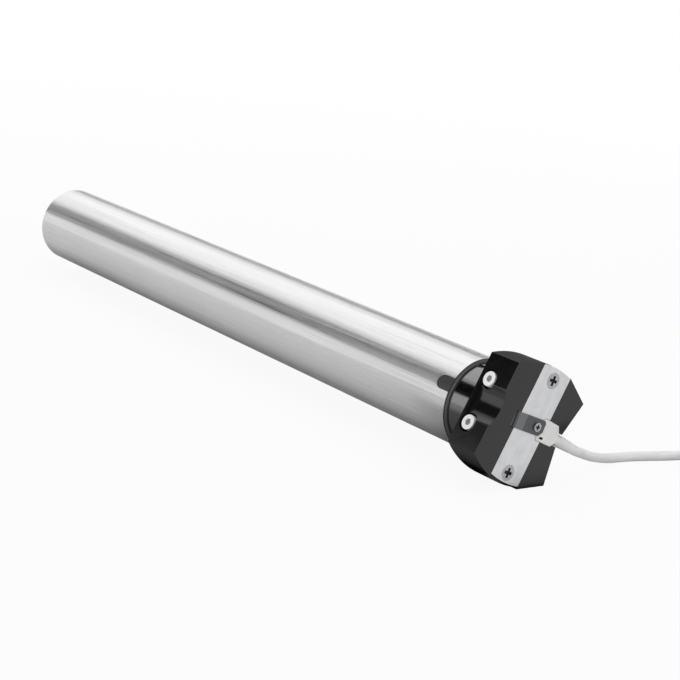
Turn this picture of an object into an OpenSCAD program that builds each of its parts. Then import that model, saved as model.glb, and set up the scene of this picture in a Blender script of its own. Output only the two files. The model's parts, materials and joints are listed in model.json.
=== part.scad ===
// Tubular motor for a roller blind, lying on the sloped side of its mounting head.
// The motor axis is X and the head points to +X. The origin is the centre of the tube's mouth.

/* [Tube] */
// Outer diameter of the motor tube
tube_d = 59; // [57.5:0.5:62]
// Wall of the motor tube
tube_wall = 1.5; // [1:0.1:2]
// Width of the tongue that keys the head to the tube
tongue_w = 8.8; // [6:0.2:12]
// Length of that tongue along the tube
tongue_len = 11.5; // [9:0.5:13]

/* [Head] */
// Depth of the head block along the motor axis
head_depth = 24; // [23:0.5:30]
// Half width of the head block
head_hw = 33; // [31.5:0.5:36]
// Distance from the motor axis to the sloped sides, which are on the cable side
flat_dist = 38.9; // [37:0.1:42]
// Slope of those sides from the strap's end
lie_angle = 25; // [20:1:30]
// Radius of the curve of the block's ends
end_r = 66; // [60:1:120]
// Distance from the motor axis to the bottom of the notch on the cable side
notch_y = 26.7; // [26.2:0.1:28]
// Width of the hollow on the side of the limit knobs
scoop_w = 24; // [18:0.5:26]
// Depth of that hollow
scoop_depth = 3.5; // [2:0.1:4.5]
// Thickness of the rim left behind the hollow
rim_t = 2; // [1.5:0.1:3]
// Diameter of the head's core, which carries the limit ring
core_d = 48; // [47:0.2:49]
// Diameter of the round chamber in the core
chamber_d = 38; // [37:0.2:39]
// Length of the core inside the tube
spigot_len = 36; // [32:1:50]

/* [Limit ring] */
// Length of the neck between the tube and the head block
neck_len = 22; // [20:0.5:26]
// Outer diameter of the limit ring
ring_d = 55; // [54:0.2:56]
// Width of the keyway in the limit ring
keyway_w = 2.2; // [1.5:0.1:3]
// Length of the keyway
keyway_len = 3.5; // [2:0.5:12]
// Depth of the keyway
keyway_depth = 1; // [0.5:0.1:1.1]

/* [Mounting strap] */
// Width of the strap
strap_w = 25.5; // [24:0.5:28]
// Thickness of the strap
strap_t = 5; // [4.5:0.1:5.5]
// Distance of each strap screw from the motor axis
strap_screw_z = 30.4; // [29:0.1:31]
// Diameter of the strap screws' thread
strap_screw_d = 5; // [4:0.1:5]
// Diameter of their countersunk heads
strap_screw_head_d = 10; // [9:0.1:10.5]
// Length of the strap screws under the strap
strap_screw_grip = 13; // [8:0.5:14]

/* [Cable clamp] */
// Thickness of the clamp's sheet
clamp_t = 1.5; // [1:0.1:2]
// Width of the clamp
clamp_w = 10.2; // [9:0.1:10.6]
// Turn of the clamp about its screw
clamp_turn = 6; // [0:1:8]
// Diameter of the clamp screw's head
clamp_head_d = 5.5; // [5:0.1:6]
// Diameter of the clamp screw's thread
clamp_screw_d = 3; // [2.5:0.1:3]

/* [Limit knobs] */
// Diameter of a limit knob
knob_d = 9.8; // [9:0.1:11]
// Distance of each knob from the middle of the head
knob_z = 14.2; // [14:0.1:15]
// Distance of the knobs from the back of the head block
knob_x = 7.5; // [7:0.1:8]
// Width across the flats of a knob's hex socket
knob_socket = 4; // [3:0.5:5]
// Diameter of an adjuster shaft
adjuster_d = 4; // [3:0.1:4.4]

/* [Limit gears] */
// Module of the limit gears
limit_m = 0.8; // [0.78:0.01:0.8]
// Diameter of the pinion's spindle and of the cam shaft
spindle_d = 3; // [2:0.1:3.4]
// Width of a toothed rim in the limit gears
limit_face = 3; // [2:0.1:3.2]
// Thickness of a plate of the limit frame
frame_plate_t = 2; // [1.5:0.1:2.4]

/* [Motor] */
// Diameter of the run capacitor
capacitor_d = 35; // [30:0.5:36]
// Length of the run capacitor
capacitor_len = 66; // [50:1:80]
// Length of the stator's iron
stator_len = 140; // [100:5:180]
// Bore of the stator
stator_bore = 30.6; // [28:0.2:32]
// Length of a winding head
winding_len = 15; // [12:0.5:18]
// Diameter of the rotor shaft
rotor_shaft_d = 8; // [7:0.5:8]
// Outer diameter of a rotor bearing
bearing_d = 22; // [20:0.5:24]
// Width of a rotor bearing
bearing_w = 7; // [5:0.5:8]
// Radial gap between the rotor and the stator
air_gap = 0.3; // [0.3:0.05:0.6]

/* [Brake] */
// Length of the brake, from the motor to the gearbox
brake_len = 34; // [34:1:40]
// Stroke of the brake armature
brake_stroke = 0.5; // [0.3:0.05:0.8]

/* [Gearbox] */
// Module of the planetary gears
gear_m = 1; // [0.95:0.01:1]
// Length of one planetary stage
stage_len = 34; // [32:1:40]
// Width of the planet wheels
planet_w = 20; // [16:1:20]
// Diameter of a planet's pin
planet_pin_d = 5; // [4:0.2:6]

/* [Output] */
// Diameter of the output shaft
output_d = 16; // [14:0.5:18]
// Length of the output shaft outside the tube
output_len = 25; // [22:1:32]
// Depth of the flat on the output shaft
output_flat = 1.5; // [0.5:0.1:1.5]
// Length of the end cap inside the tube
end_cap_len = 53; // [45:1:70]

/* [Mains cable] */
// Diameter of the cable
cord_d = 6.2; // [5.8:0.1:6.4]
// Turns in each layer of the coil
coil_turns = 3.5; // [2.5:1:4.5]
// Radius of the coil's outermost turn
coil_r = 48.8; // [48:0.2:56]
// Distance between neighbouring turns
coil_pitch = 6.8; // [6.7:0.05:7.5]
// Width of the tie round the coil
tie_w = 10; // [8:1:20]
// Length of the bare cores at the cable's end
core_len = 26; // [15:1:40]

/* [Hidden] */
$fn = 96;
end_sides = 240;

// Clearances: between fixed pieces, between running pieces, and what a cut runs past a face
fit_gap = 0.05;
run_gap = 0.06;
cut = 1;

// Head
tube_r = tube_d / 2;
tube_in_r = tube_r - tube_wall;
face_x = neck_len + head_depth;
core_r = core_d / 2;
chamber_r = chamber_d / 2;
chamber_end = neck_len + head_depth / 2;
strap_hw = strap_w / 2;
strap_end_z = (flat_dist - strap_hw * sin(lie_angle)) / cos(lie_angle);
corner_z = (flat_dist - head_hw * sin(lie_angle)) / cos(lie_angle);
slope_top_z = flat_dist / cos(lie_angle);
end_centre_z = strap_end_z - sqrt(pow(end_r, 2) - pow(strap_hw, 2));
scoop_r = (pow(scoop_w / 2, 2) + pow(scoop_depth, 2)) / (2 * scoop_depth);
strap_floor = face_x - strap_t;
strap_end_inset = 0.3;
head_cone = (strap_screw_head_d - strap_screw_d) / 2;
recess_w = 1.9;
recess_share = 0.62;
recess_depth = 1.5;
recess_turn = 6;

// Collar and its tongue, which sits a little above the middle of the knob side
collar_t = 1;
collar_sleeve = 14;
tongue_turn = -3;
tongue_gap = 0.25;

// Cable gland, its strain relief, and the clamp over them
gland_outline = [[7, -4], [9, -5.6], [22.4, -5], [25.8, -1], [25, 4.2], [21.8, 8.6], [9.4, 8.8], [7, 7.2]];
gland_gap = 0.2;
gland_depth = 8.2;
gland_proud = 0.3;
relief_inset = 1.7;
relief_start_y = notch_y - relief_inset;
relief_reach = 11;
relief_len = head_hw + relief_reach - relief_start_y;
relief_r1 = 4;
relief_r2 = 3.4;
cable_depth = 4;
cable_x = face_x - cable_depth;
cable_z = 0.6;
wire_hole_y = 14;
wire_hole_z = 1.6;
clamp_x = face_x + gland_proud + fit_gap;
clamp_step = 2.5;
clamp_right = 9.3;
clamp_corner = 3;
clamp_screw_y = 2.6;
clamp_screw_z = 1.6;
clamp_head_h = 1.2;
// The foot stands just clear of the strap, whatever the turn
clamp_reach = clamp_screw_y + strap_hw + clamp_w / 2 * sin(clamp_turn) + 2 * fit_gap;
clamp_left = clamp_screw_y - clamp_reach / cos(clamp_turn);
clamp_foot_len = 2.8;
clamp_foot = clamp_left - clamp_foot_len;
clamp_screw_len = strap_t + gland_proud;
foot_gap = 1;

// Limit knobs
knob_inset = 0.2;
knob_face_y = -head_hw + knob_inset;
knob_h = 3.5;
knob_room = 1.3;
knob_pocket_r = knob_d / 2 + knob_room;
adjuster_x = neck_len + knob_x;
adjuster_end_y = 8;
worm_r = 2.8;
worm_half = 6;
socket_depth = 2.5;

// Limit gears: ring, pinion and cam wheels, all on the line from the motor axis to +Z of the head
pressure_angle = 20;
limit_slack = 0.12;
limit_add = 0.8 * limit_m;
limit_ded = 1.1 * limit_m;
ring_teeth = 62;
pinion_teeth = 12;
cam_teeth = 24;
pinion_z = (ring_teeth - pinion_teeth) * limit_m / 2;
cam_z = pinion_z - (pinion_teeth + cam_teeth) * limit_m / 2;
ring_x0 = collar_t + 0.3;
ring_x1 = neck_len - 0.3;
keyway_turn = 131;
limit_mid = (ring_x0 + ring_x1) / 2;
pinion_room = 0.6;
frame_half = 12.5;
frame_r = chamber_r - 0.3;
frame_ear_r = 3.3;
post_r = 1.6;
posts = [[-14.5, 8.5], [-12.5, -11], [12.5, -11]];
cam_x0 = -9;
cam_disc_r = 7.4;
cam_lobe_r = 8.7;
cam_lobe_w = 3;
cam_lobe_turn = 40;
cam_lobe_h = sqrt(pow(cam_lobe_r, 2) - pow(cam_lobe_w / 2, 2));
switch_w = 5.8;
switch_len = 12.8;
switch_h = 6.5;
switch_top_z = -7;
switch_x = -cam_x0 - 1.5 * limit_face;
shelf_t = 1.7;
button_d = 2;
button_gap = 0.2;
button_top_z = cam_z - cam_lobe_r - button_gap;
button_depth = 3;
button_travel = 0.8;

// Places along the tube, counted from its mouth to its far end
lid_t = 3;
wire_space = 16;
wire_bend = 2;
cradle_plate = 4;
cradle_seat = 1.5;
cradle_x = -spigot_len - wire_space;
cradle_len = 2 * (cradle_plate - cradle_seat + fit_gap) + capacitor_len;
cradle_space = 14.9;
bell_x = cradle_x - cradle_len - cradle_space;
bell_plate = 12;
bell_skirt = winding_len + 1;
stator_x = bell_x - bell_plate - bell_skirt;
stator_end = stator_x - stator_len;
rear_bell_end = stator_end - bell_skirt - bell_plate;
brake_end = rear_bell_end - brake_len;
gear_x = brake_end - 2;
gear_end = gear_x - 3 * stage_len;
tube_len = -gear_end + end_cap_len;
inner_r = tube_in_r - fit_gap;
harness_r = 2;
harness_inset = 5.4;
harness_y = tube_in_r - harness_inset;
cradle_rib_w = 6;
cradle_rib_h = 5;
cradle_rib_r = inner_r - cradle_rib_h - 1;
terminal_y = 5;
terminal_t = 0.8;
terminal_w = 6;
terminal_h = 8;
terminal_window_r = 11;

// Motor
slot_count = 12;
slot_w = 3;
slot_h = 7;
slot_r = 21.5;
winding_r0 = 17;
winding_r1 = 25.8;
winding_room = 0.4;
rotor_r = stator_bore / 2 - air_gap;
shaft_r = rotor_shaft_d / 2;
shaft_nose_r = 3;
shaft_room = 1;
end_ring_len = 5;
end_ring_step = 0.5;
end_ring_wall = 3;
shaft_front = bell_x - 4;

// Brake
magnet_len = 16;
armature_t = 5;
lining_t = 2.5;
disc_t = 5.4;
armature_x = rear_bell_end - magnet_len - brake_stroke - fit_gap;
brake_guide_r = 22;
guide_d = 3;
guide_turns = [90, 210, 330];
guide_room = 0.3;
skirt_in_r = 25.5;
armature_r = 25;
spring_r = 11;
spring_wall = 2.5;
spring_depth = 10;
spring_room = 0.3;
lining_r0 = 12;
lining_r1 = 20;
armature_room = 2;
disc_room = 1;
brake_wall = 2.5;

// Planetary gears: sun, planets and fixed ring gear of each stage
sun_teeth = 12;
planet_teeth = 15;
gear_ring_teeth = 42;
gear_slack = 0.15;
gear_add = 0.8 * gear_m;
gear_ded = 1.1 * gear_m;
planet_orbit = (sun_teeth + planet_teeth) * gear_m / 2;
sun_len = planet_w + 2;
carrier_t = 8;
carrier_r = 19.5;
carrier_gap = 1;
planet_gap = 1;
lip_width = 5;
lip_r = planet_orbit - lip_width;

// Output
output_r = output_d / 2;
journal_step = 0.5;
journal_r = output_r + journal_step;
journal_stop = 3;
bush_r = journal_r + 3;
bush_len = 16;
circlip_t = 1.2;
circlip_r = journal_r + 1.8;
groove_depth = 0.7;
drive_step = 0.25;
flat_stop = 10;
cap_hole_d = 9;
cap_hole_depth = 10;
cap_holes = 6;
circlip_mouth = 3;
circlip_x = -tube_len - 0.4;

// Cable, from the strain relief down to the surface and along it to the coil
cord_r = cord_d / 2;
floor_z = -flat_dist;
cord_z = floor_z + cord_r;
cord_sides = 8;
cord_way = [0, cos(lie_angle), -sin(lie_angle)];
cord_exit = [cable_x, 0, 0] + (relief_start_y + relief_len) * cord_way
    + cable_z * [0, sin(lie_angle), cos(lie_angle)];
cord_route = [[38.5, 53, -23.4], [35, 62.5, -26.9], [31.5, 73, -30.4], [28, 85, -33.4],
    [25.8, 96, -35.2], [25.2, 107, -35.8], [27, 119, -35.8], [29.8, 131, -35.8],
    [32.6, 143, -35.8], [35.2, 156, -35.7], [37.8, 169, -35.5]];
tie_t = 0.6;
tie_room = 0.3;
tie_turn = 60;
coil_centre = [91, 182];
coil_start = 168;
coil_steps = 24;
coil_sides = 6;
coil_low = cord_z + tie_t;
coil_total = 2 * coil_turns + 0.5;
tail_route = [[133.8, 149.5, -30.9], [131.2, 138, -34.2], [129.4, 129.5, -35.8], [128, 123, -35.8]];
core_d_small = 2;
core_spread = 1.3;
core_bare = 8;
core_skin = 0.3;

function unit(v) = v / norm(v);

// Half angle of a gear tooth at radius r, thinned by slack at the pitch circle
function roll(a) = tan(a) * 180 / PI - a;
function half_tooth(teeth, m, r, slack) =
    let (pitch_r = teeth * m / 2, base_r = pitch_r * cos(pressure_angle), at = max(r, base_r))
    90 / teeth + roll(pressure_angle) - roll(acos(base_r / at)) - 90 * slack / (PI * pitch_r);
function gear_points(teeth, m, tip_r, root_r, slack, steps = 3) = [
    for (i = [0 : teeth - 1], k = [0 : 2 * steps + 1])
        let (s = k <= steps ? k : 2 * steps + 1 - k,
            r = root_r + (tip_r - root_r) * s / steps,
            a = 360 * i / teeth + (k <= steps ? -1 : 1) * half_tooth(teeth, m, r, slack))
        [r * cos(a), r * sin(a)]];

// Direction of a route at point i, and the tube swept along the route
function heading(p, i) = unit(p[min(i + 1, len(p) - 1)] - p[max(i - 1, 0)]);
function hoop(p, i, r, sides) =
    let (t = heading(p, i), s = unit(cross(t, [0, 0, 1])), u = cross(s, t))
    [for (k = [0 : sides - 1]) p[i] + r * (cos(360 * k / sides) * s - sin(360 * k / sides) * u)];
function route_len(p) = [for (i = [1 : len(p) - 1]) norm(p[i] - p[i - 1])] * [for (i = [1 : len(p) - 1]) 1];

// Coil: both layers wind at a steady rate, and the cable climbs in the half turn between them
function coil_at(u) =
    let (inner_r = coil_r - coil_pitch * coil_turns,
        back = u - coil_turns,
        r = u <= coil_turns ? coil_r - coil_pitch * u
            : back <= 0.5 ? inner_r - coil_pitch * min(back, 0.5 - back)
            : inner_r + coil_pitch * (back - 0.5),
        climb = max(0, min(1, 2 * back)),
        a = coil_start - 360 * u)
    [coil_centre[0] + r * cos(a), coil_centre[1] + r * sin(a), coil_low + coil_pitch * climb];
coil_turn_points = [for (i = [0 : coil_steps * coil_total]) coil_at(i / coil_steps)];
coil_last = len(coil_turn_points) - 1;
coil_points = concat(
    [coil_turn_points[0] - cord_d * unit(coil_turn_points[1] - coil_turn_points[0])],
    coil_turn_points,
    [coil_turn_points[coil_last]
        + cord_d * unit(coil_turn_points[coil_last] - coil_turn_points[coil_last - 1])]);
coil_in = coil_points[0];
coil_out = coil_points[len(coil_points) - 1];
run_points = concat([cord_exit, cord_exit + cord_d * cord_way], cord_route,
    [2 * coil_in - coil_points[1], coil_in]);
tail_points = concat([coil_out, 2 * coil_out - coil_points[len(coil_points) - 2]], tail_route);
coil_gap = min([for (i = [0 : coil_last], j = [i + coil_steps / 2 : 1 : coil_last])
    norm(coil_turn_points[i] - coil_turn_points[j])]) - cord_d;

module rod(x0, x1, r) {
    translate([x0, 0, 0]) rotate([0, 90, 0]) cylinder(h = x1 - x0, r = r);
}

module hollow_rod(x0, x1, r_out, r_in) {
    difference() {
        rod(x0, x1, r_out);
        rod(x0 - cut, x1 + cut, r_in);
    }
}

// The block seen from the strap: sloped sides and a notch on the cable side, and curved ends
module block_shape(end_inset = 0) {
    intersection() {
        polygon([[0, slope_top_z], [head_hw, corner_z], [notch_y, 0], [head_hw, -corner_z],
            [0, -slope_top_z], [-head_hw, -slope_top_z], [-head_hw, slope_top_z]]);
        translate([0, end_centre_z]) circle(r = end_r - end_inset, $fn = end_sides);
        translate([0, -end_centre_z]) circle(r = end_r - end_inset, $fn = end_sides);
    }
}

// Extrudes a shape drawn in Y and Z along the motor axis
module bar(x0, x1) {
    translate([x0, 0, 0]) rotate([90, 0, 90]) linear_extrude(x1 - x0) children();
}

// Turns what is drawn with an upright strap into the way the head lies
module as_it_lies() {
    rotate([-lie_angle, 0, 0]) children();
}

module swept_tube(p, r, sides) {
    n = len(p);
    corners = [for (i = [0 : n - 1]) each hoop(p, i, r, sides)];
    walls = [for (i = [0 : n - 2], k = [0 : sides - 1])
        let (a = i * sides + k, b = i * sides + (k + 1) % sides)
        each [[a, b + sides, b], [a, a + sides, b + sides]]];
    first = [for (k = [1 : sides - 2]) [0, k, k + 1]];
    last = [for (k = [1 : sides - 2]) (n - 1) * sides * [1, 1, 1] + [0, k + 1, k]];
    polyhedron(points = corners, faces = concat(walls, first, last));
}

// Round-ended slot on the knob side of the tube, seen along Y
module tongue_shape(w, length) {
    rotate([tongue_turn, 0, 0]) translate([0, -tube_r - cut, 0]) rotate([-90, 0, 0])
        linear_extrude(tube_wall + 2 * cut) {
            translate([w / 2 - length, -w / 2]) square([length - w / 2 + 2 * cut, w]);
            translate([w / 2 - length, 0]) circle(d = w);
        }
}

module cross_recess(x, w, size, depth) {
    for (turn = [0, 90])
        translate([x - depth, 0, 0]) rotate([turn + recess_turn, 0, 0])
            translate([0, -size / 2, -w / 2]) cube([depth + cut, size, w]);
}

module tube() {
    color("#c9cacc") difference() {
        hollow_rod(-tube_len, 0, tube_r, tube_in_r);
        as_it_lies() tongue_shape(tongue_w + 2 * tongue_gap, tongue_len + tongue_gap);
    }
}

module end_collar() {
    color("#4b4c4f") as_it_lies() difference() {
        hollow_rod(-collar_sleeve, collar_t, tube_r, core_r + fit_gap);
        difference() {
            hollow_rod(-collar_sleeve - cut, 0, tube_r + cut / 2, inner_r);
            tongue_shape(tongue_w, tongue_len);
        }
    }
}

module knob_cut(z) {
    translate([adjuster_x, knob_face_y + knob_h, z]) rotate([-90, 0, 0]) {
        translate([0, 0, -knob_h - cut]) cylinder(h = knob_h + cut, r = knob_pocket_r);
        cylinder(h = head_hw, r = adjuster_d / 2 + run_gap);
    }
}

module head_body() {
    color("#1c1c1e") as_it_lies() difference() {
        union() {
            bar(neck_len, face_x) block_shape();
            rod(-spigot_len, neck_len + cut, core_r);
        }
        rod(-spigot_len - cut, chamber_end, chamber_r);
        // Hollow on the knob side
        translate([0, -head_hw - scoop_r + scoop_depth, 0])
            rod(neck_len + rim_t, face_x + cut, scoop_r);
        // Seat of the strap, with its screw holes
        translate([strap_floor, -strap_hw - fit_gap, -slope_top_z])
            cube([strap_t + cut, strap_w + 2 * fit_gap, 2 * slope_top_z]);
        for (s = [-1, 1])
            translate([0, 0, s * strap_screw_z])
                rod(strap_floor - strap_screw_grip - cut, face_x, strap_screw_d / 2 + fit_gap);
        // Pocket of the gland, with the ways out for the cable and the wires
        bar(face_x - gland_depth, face_x + cut) offset(delta = gland_gap) polygon(gland_outline);
        translate([face_x - gland_depth, relief_start_y - cut, cable_z - relief_r1 - gland_gap])
            cube([gland_depth + cut, head_hw, 2 * (relief_r1 + gland_gap)]);
        translate([0, wire_hole_y, wire_hole_z])
            rod(chamber_end - cut, face_x - gland_depth + cut, harness_r + gland_gap);
        // Recess for the clamp's foot
        translate([face_x - clamp_step - fit_gap, clamp_foot - foot_gap, -clamp_w / 2 - foot_gap])
            cube([clamp_step + cut, -clamp_foot + foot_gap - strap_hw,
                clamp_w + 2 * foot_gap + clamp_screw_z]);
        for (s = [-1, 1]) knob_cut(s * knob_z);
        // Slot where the pinion reaches the limit ring
        translate([limit_mid, 0, pinion_z])
            rod(-frame_half - gland_gap, frame_half + gland_gap,
                pinion_teeth * limit_m / 2 + limit_add + pinion_room);
    }
}

// Ring with teeth all along its bore, which run on the head's core
module limit_ring() {
    color("#202124") as_it_lies() difference() {
        rod(ring_x0, ring_x1, ring_d / 2);
        bar(ring_x0 - cut, ring_x1 + cut) rotate(90)
            polygon(gear_points(ring_teeth, limit_m, ring_teeth * limit_m / 2 + limit_ded,
                core_r + run_gap, -limit_slack));
        rotate([keyway_turn, 0, 0])
            translate([ring_x1 - keyway_len, ring_d / 2 - keyway_depth, -keyway_w / 2])
                cube([keyway_len + cut, keyway_depth + cut, keyway_w]);
    }
}

module mounting_strap() {
    color("#c4c6ca") as_it_lies() difference() {
        intersection() {
            bar(strap_floor, face_x) block_shape(strap_end_inset);
            translate([strap_floor, -strap_hw, -slope_top_z])
                cube([strap_t, strap_w, 2 * slope_top_z]);
        }
        for (s = [-1, 1])
            translate([0, 0, s * strap_screw_z]) {
                rod(strap_floor - cut, face_x + cut, strap_screw_d / 2 + fit_gap);
                translate([face_x - head_cone, 0, 0]) rotate([0, 90, 0])
                    cylinder(h = head_cone, r1 = strap_screw_d / 2 + fit_gap,
                        r2 = strap_screw_head_d / 2 + fit_gap);
            }
        bar(strap_floor - cut, face_x + cut) offset(delta = gland_gap) polygon(gland_outline);
        translate([0, clamp_screw_y, clamp_screw_z])
            rod(strap_floor - cut, face_x + cut, clamp_screw_d / 2 + fit_gap);
    }
}

module strap_screws() {
    color("#9a9c9f") as_it_lies() for (s = [-1, 1])
        translate([0, 0, s * strap_screw_z]) difference() {
            union() {
                translate([face_x - head_cone, 0, 0]) rotate([0, 90, 0])
                    cylinder(h = head_cone, r1 = strap_screw_d / 2, r2 = strap_screw_head_d / 2);
                rod(strap_floor - strap_screw_grip, face_x - head_cone, strap_screw_d / 2);
            }
            cross_recess(face_x, recess_w, strap_screw_head_d * recess_share, recess_depth);
        }
}

module clamp_place() {
    as_it_lies() translate([0, clamp_screw_y, clamp_screw_z]) rotate([clamp_turn, 0, 0])
        translate([0, -clamp_screw_y, 0]) children();
}

module cable_clamp() {
    top = clamp_x + clamp_t;
    foot_x = face_x - clamp_step;
    color("#3c3e42") clamp_place() difference() {
        intersection() {
            translate([0, 0, -clamp_w / 2]) linear_extrude(clamp_w)
                polygon([[foot_x, clamp_foot], [foot_x + clamp_t, clamp_foot],
                    [foot_x + clamp_t, clamp_left - clamp_t], [top, clamp_left - clamp_t],
                    [top, clamp_right], [clamp_x, clamp_right], [clamp_x, clamp_left],
                    [foot_x, clamp_left]]);
            bar(foot_x - cut, top + cut) polygon([[clamp_foot - cut, -clamp_w / 2],
                [clamp_right - clamp_corner, -clamp_w / 2], [clamp_right, -clamp_w / 2 + clamp_corner],
                [clamp_right, clamp_w / 2 - clamp_corner / 2],
                [clamp_right - clamp_corner / 2, clamp_w / 2], [clamp_foot - cut, clamp_w / 2]]);
        }
        translate([0, clamp_screw_y, 0]) rod(clamp_x - cut, top + cut, clamp_screw_d / 2 + fit_gap);
    }
}

module clamp_screw() {
    seat = clamp_x + clamp_t;
    color("#b9bbbe") clamp_place() translate([0, clamp_screw_y, 0]) difference() {
        union() {
            rod(seat, seat + clamp_head_h, clamp_head_d / 2);
            rod(seat - clamp_t - clamp_screw_len, seat, clamp_screw_d / 2);
        }
        cross_recess(seat + clamp_head_h, recess_w * recess_share, clamp_head_d * recess_share,
            clamp_head_h * recess_share);
    }
}

module cable_gland() {
    color("#ececec") as_it_lies() difference() {
        bar(face_x - gland_depth, face_x + gland_proud) polygon(gland_outline);
        translate([0, wire_hole_y, wire_hole_z])
            rod(face_x - gland_depth - cut, cable_x, harness_r + fit_gap);
    }
}

module strain_relief() {
    color("#e6e6e6") as_it_lies() difference() {
        translate([cable_x, relief_start_y, cable_z]) rotate([-90, 0, 0])
            cylinder(h = relief_len, r1 = relief_r1, r2 = relief_r2);
        bar(face_x - gland_depth - cut, face_x + cut) offset(delta = fit_gap) polygon(gland_outline);
    }
}

module limit_knob(z) {
    color("#f4f4f4") as_it_lies() translate([adjuster_x, knob_face_y, z]) rotate([-90, 0, 0])
        difference() {
            cylinder(h = knob_h - fit_gap, r = knob_d / 2);
            translate([0, 0, -cut])
                cylinder(h = socket_depth + cut, r = knob_socket / 2 / cos(30), $fn = 6);
        }
}

module upper_limit_knob() { limit_knob(knob_z); }
module lower_limit_knob() { limit_knob(-knob_z); }

module adjuster(z) {
    start = knob_face_y + knob_h - fit_gap;
    color("#b8963e") as_it_lies() translate([adjuster_x, 0, z]) rotate([-90, 0, 0]) {
        translate([0, 0, start]) cylinder(h = adjuster_end_y - start, r = adjuster_d / 2);
        translate([0, 0, -worm_half]) cylinder(h = 2 * worm_half, r = worm_r);
    }
}

module upper_adjuster() { adjuster(knob_z); }
module lower_adjuster() { adjuster(-knob_z); }

// Two plates with their posts, the shelf of the switches and the fixed shaft of the cam wheels
module limit_frame() {
    color("#d8d8d2") as_it_lies() translate([limit_mid, 0, 0]) difference() {
        union() {
            for (x = [-frame_half, frame_half - frame_plate_t]) {
                rod(x, x + frame_plate_t, frame_r);
                translate([0, 0, pinion_z]) rod(x, x + frame_plate_t, frame_ear_r);
            }
            for (post = posts) translate([0, post[0], post[1]]) rod(-frame_half, frame_half, post_r);
            translate([0, 0, cam_z]) rod(-frame_half, frame_half, spindle_d / 2);
            translate([-frame_half, -switch_len / 2, switch_top_z - switch_h - shelf_t])
                cube([2 * frame_half, switch_len, shelf_t]);
        }
        translate([0, 0, pinion_z]) rod(-frame_half - cut, frame_half + cut, spindle_d / 2 + run_gap);
        translate([0, wire_hole_y, wire_hole_z])
            rod(-frame_half - cut, frame_half + cut, harness_r + gland_gap);
    }
}

module limit_pinion() {
    color("#e2dccb") as_it_lies() translate([0, 0, pinion_z]) {
        bar(ring_x0, ring_x1) rotate(90)
            polygon(gear_points(pinion_teeth, limit_m, pinion_teeth * limit_m / 2 + limit_add,
                pinion_teeth * limit_m / 2 - limit_ded, limit_slack));
        rod(limit_mid - frame_half, limit_mid + frame_half, spindle_d / 2);
    }
}

// Toothed rim and cam disc with its lobe, running on the cam shaft
module cam_wheel(side) {
    gear_x0 = side < 0 ? cam_x0 : -cam_x0 - limit_face;
    disc_x0 = side < 0 ? cam_x0 + limit_face : -cam_x0 - 2 * limit_face;
    color("#e8e4d8") as_it_lies() translate([limit_mid, 0, cam_z]) difference() {
        union() {
            bar(gear_x0, gear_x0 + limit_face) rotate(90 + 180 / cam_teeth)
                polygon(gear_points(cam_teeth, limit_m, cam_teeth * limit_m / 2 + limit_add,
                    cam_teeth * limit_m / 2 - limit_ded, limit_slack));
            rod(disc_x0, disc_x0 + limit_face, cam_disc_r);
            rotate([side * cam_lobe_turn, 0, 0]) translate([disc_x0, 0, -cam_lobe_w / 2])
                cube([limit_face, cam_lobe_h, cam_lobe_w]);
        }
        rod(cam_x0 - cut, -cam_x0 + cut, spindle_d / 2 + run_gap);
    }
}

module upper_cam_wheel() { cam_wheel(-1); }
module lower_cam_wheel() { cam_wheel(1); }

module limit_switches() {
    color("#2b2c30") as_it_lies() for (s = [-1, 1])
        translate([limit_mid + s * switch_x, 0, switch_top_z - switch_h]) difference() {
            translate([-switch_w / 2, -switch_len / 2, 0]) cube([switch_w, switch_len, switch_h]);
            translate([0, 0, switch_h - button_depth])
                cylinder(h = button_depth + cut, d = button_d + 2 * run_gap);
        }
}

module switch_button(s) {
    foot_z = switch_top_z - button_depth + button_travel + gland_gap;
    color("#c23b30") as_it_lies() translate([limit_mid + s * switch_x, 0, foot_z])
        cylinder(h = button_top_z - foot_z, d = button_d);
}

module upper_switch_button() { switch_button(-1); }
module lower_switch_button() { switch_button(1); }

module head_lid() {
    color("#2a2a2c") as_it_lies() difference() {
        union() {
            rod(-spigot_len - lid_t, -spigot_len, core_r);
            rod(-spigot_len, -spigot_len + lid_t, chamber_r - fit_gap);
        }
        translate([0, wire_hole_y, wire_hole_z])
            rod(-spigot_len - lid_t - cut, -spigot_len + lid_t + cut, harness_r + gland_gap);
    }
}

// Wires from the gland through the head and past the capacitor to the winding
module wiring_harness() {
    path = [[cable_x, wire_hole_y, wire_hole_z],
        [-spigot_len - lid_t - wire_bend, wire_hole_y, wire_hole_z],
        [cradle_x + wire_bend, harness_y, wire_hole_z],
        [stator_x + winding_len, harness_y, wire_hole_z]];
    color("#3f5f8f") as_it_lies() for (i = [0 : len(path) - 2]) {
        leg = path[i] - path[i + 1];
        translate(path[i + 1]) rotate([0, 0, atan2(leg[1], leg[0])]) rod(0, norm(leg), harness_r);
        if (i > 0) translate(path[i]) sphere(r = harness_r + fit_gap);
    }
}

module capacitor_cradle() {
    color("#d9d9d4") as_it_lies() difference() {
        union() {
            for (x = [cradle_x - cradle_plate, cradle_x - cradle_len]) rod(x, x + cradle_plate, inner_r);
            for (a = [60, 180, 300])
                rotate([a, 0, 0]) translate([cradle_x - cradle_len, cradle_rib_r, -cradle_rib_w / 2])
                    cube([cradle_len, cradle_rib_h, cradle_rib_w]);
        }
        translate([0, harness_y, wire_hole_z])
            rod(cradle_x - cradle_len - cut, cradle_x + cut, harness_r + gland_gap);
        rod(cradle_x - cradle_len + cradle_plate - cradle_seat, cradle_x - cradle_plate + cradle_seat,
            capacitor_d / 2 + fit_gap);
        rod(cradle_x - cradle_plate, cradle_x + cut, terminal_window_r);
    }
}

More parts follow.
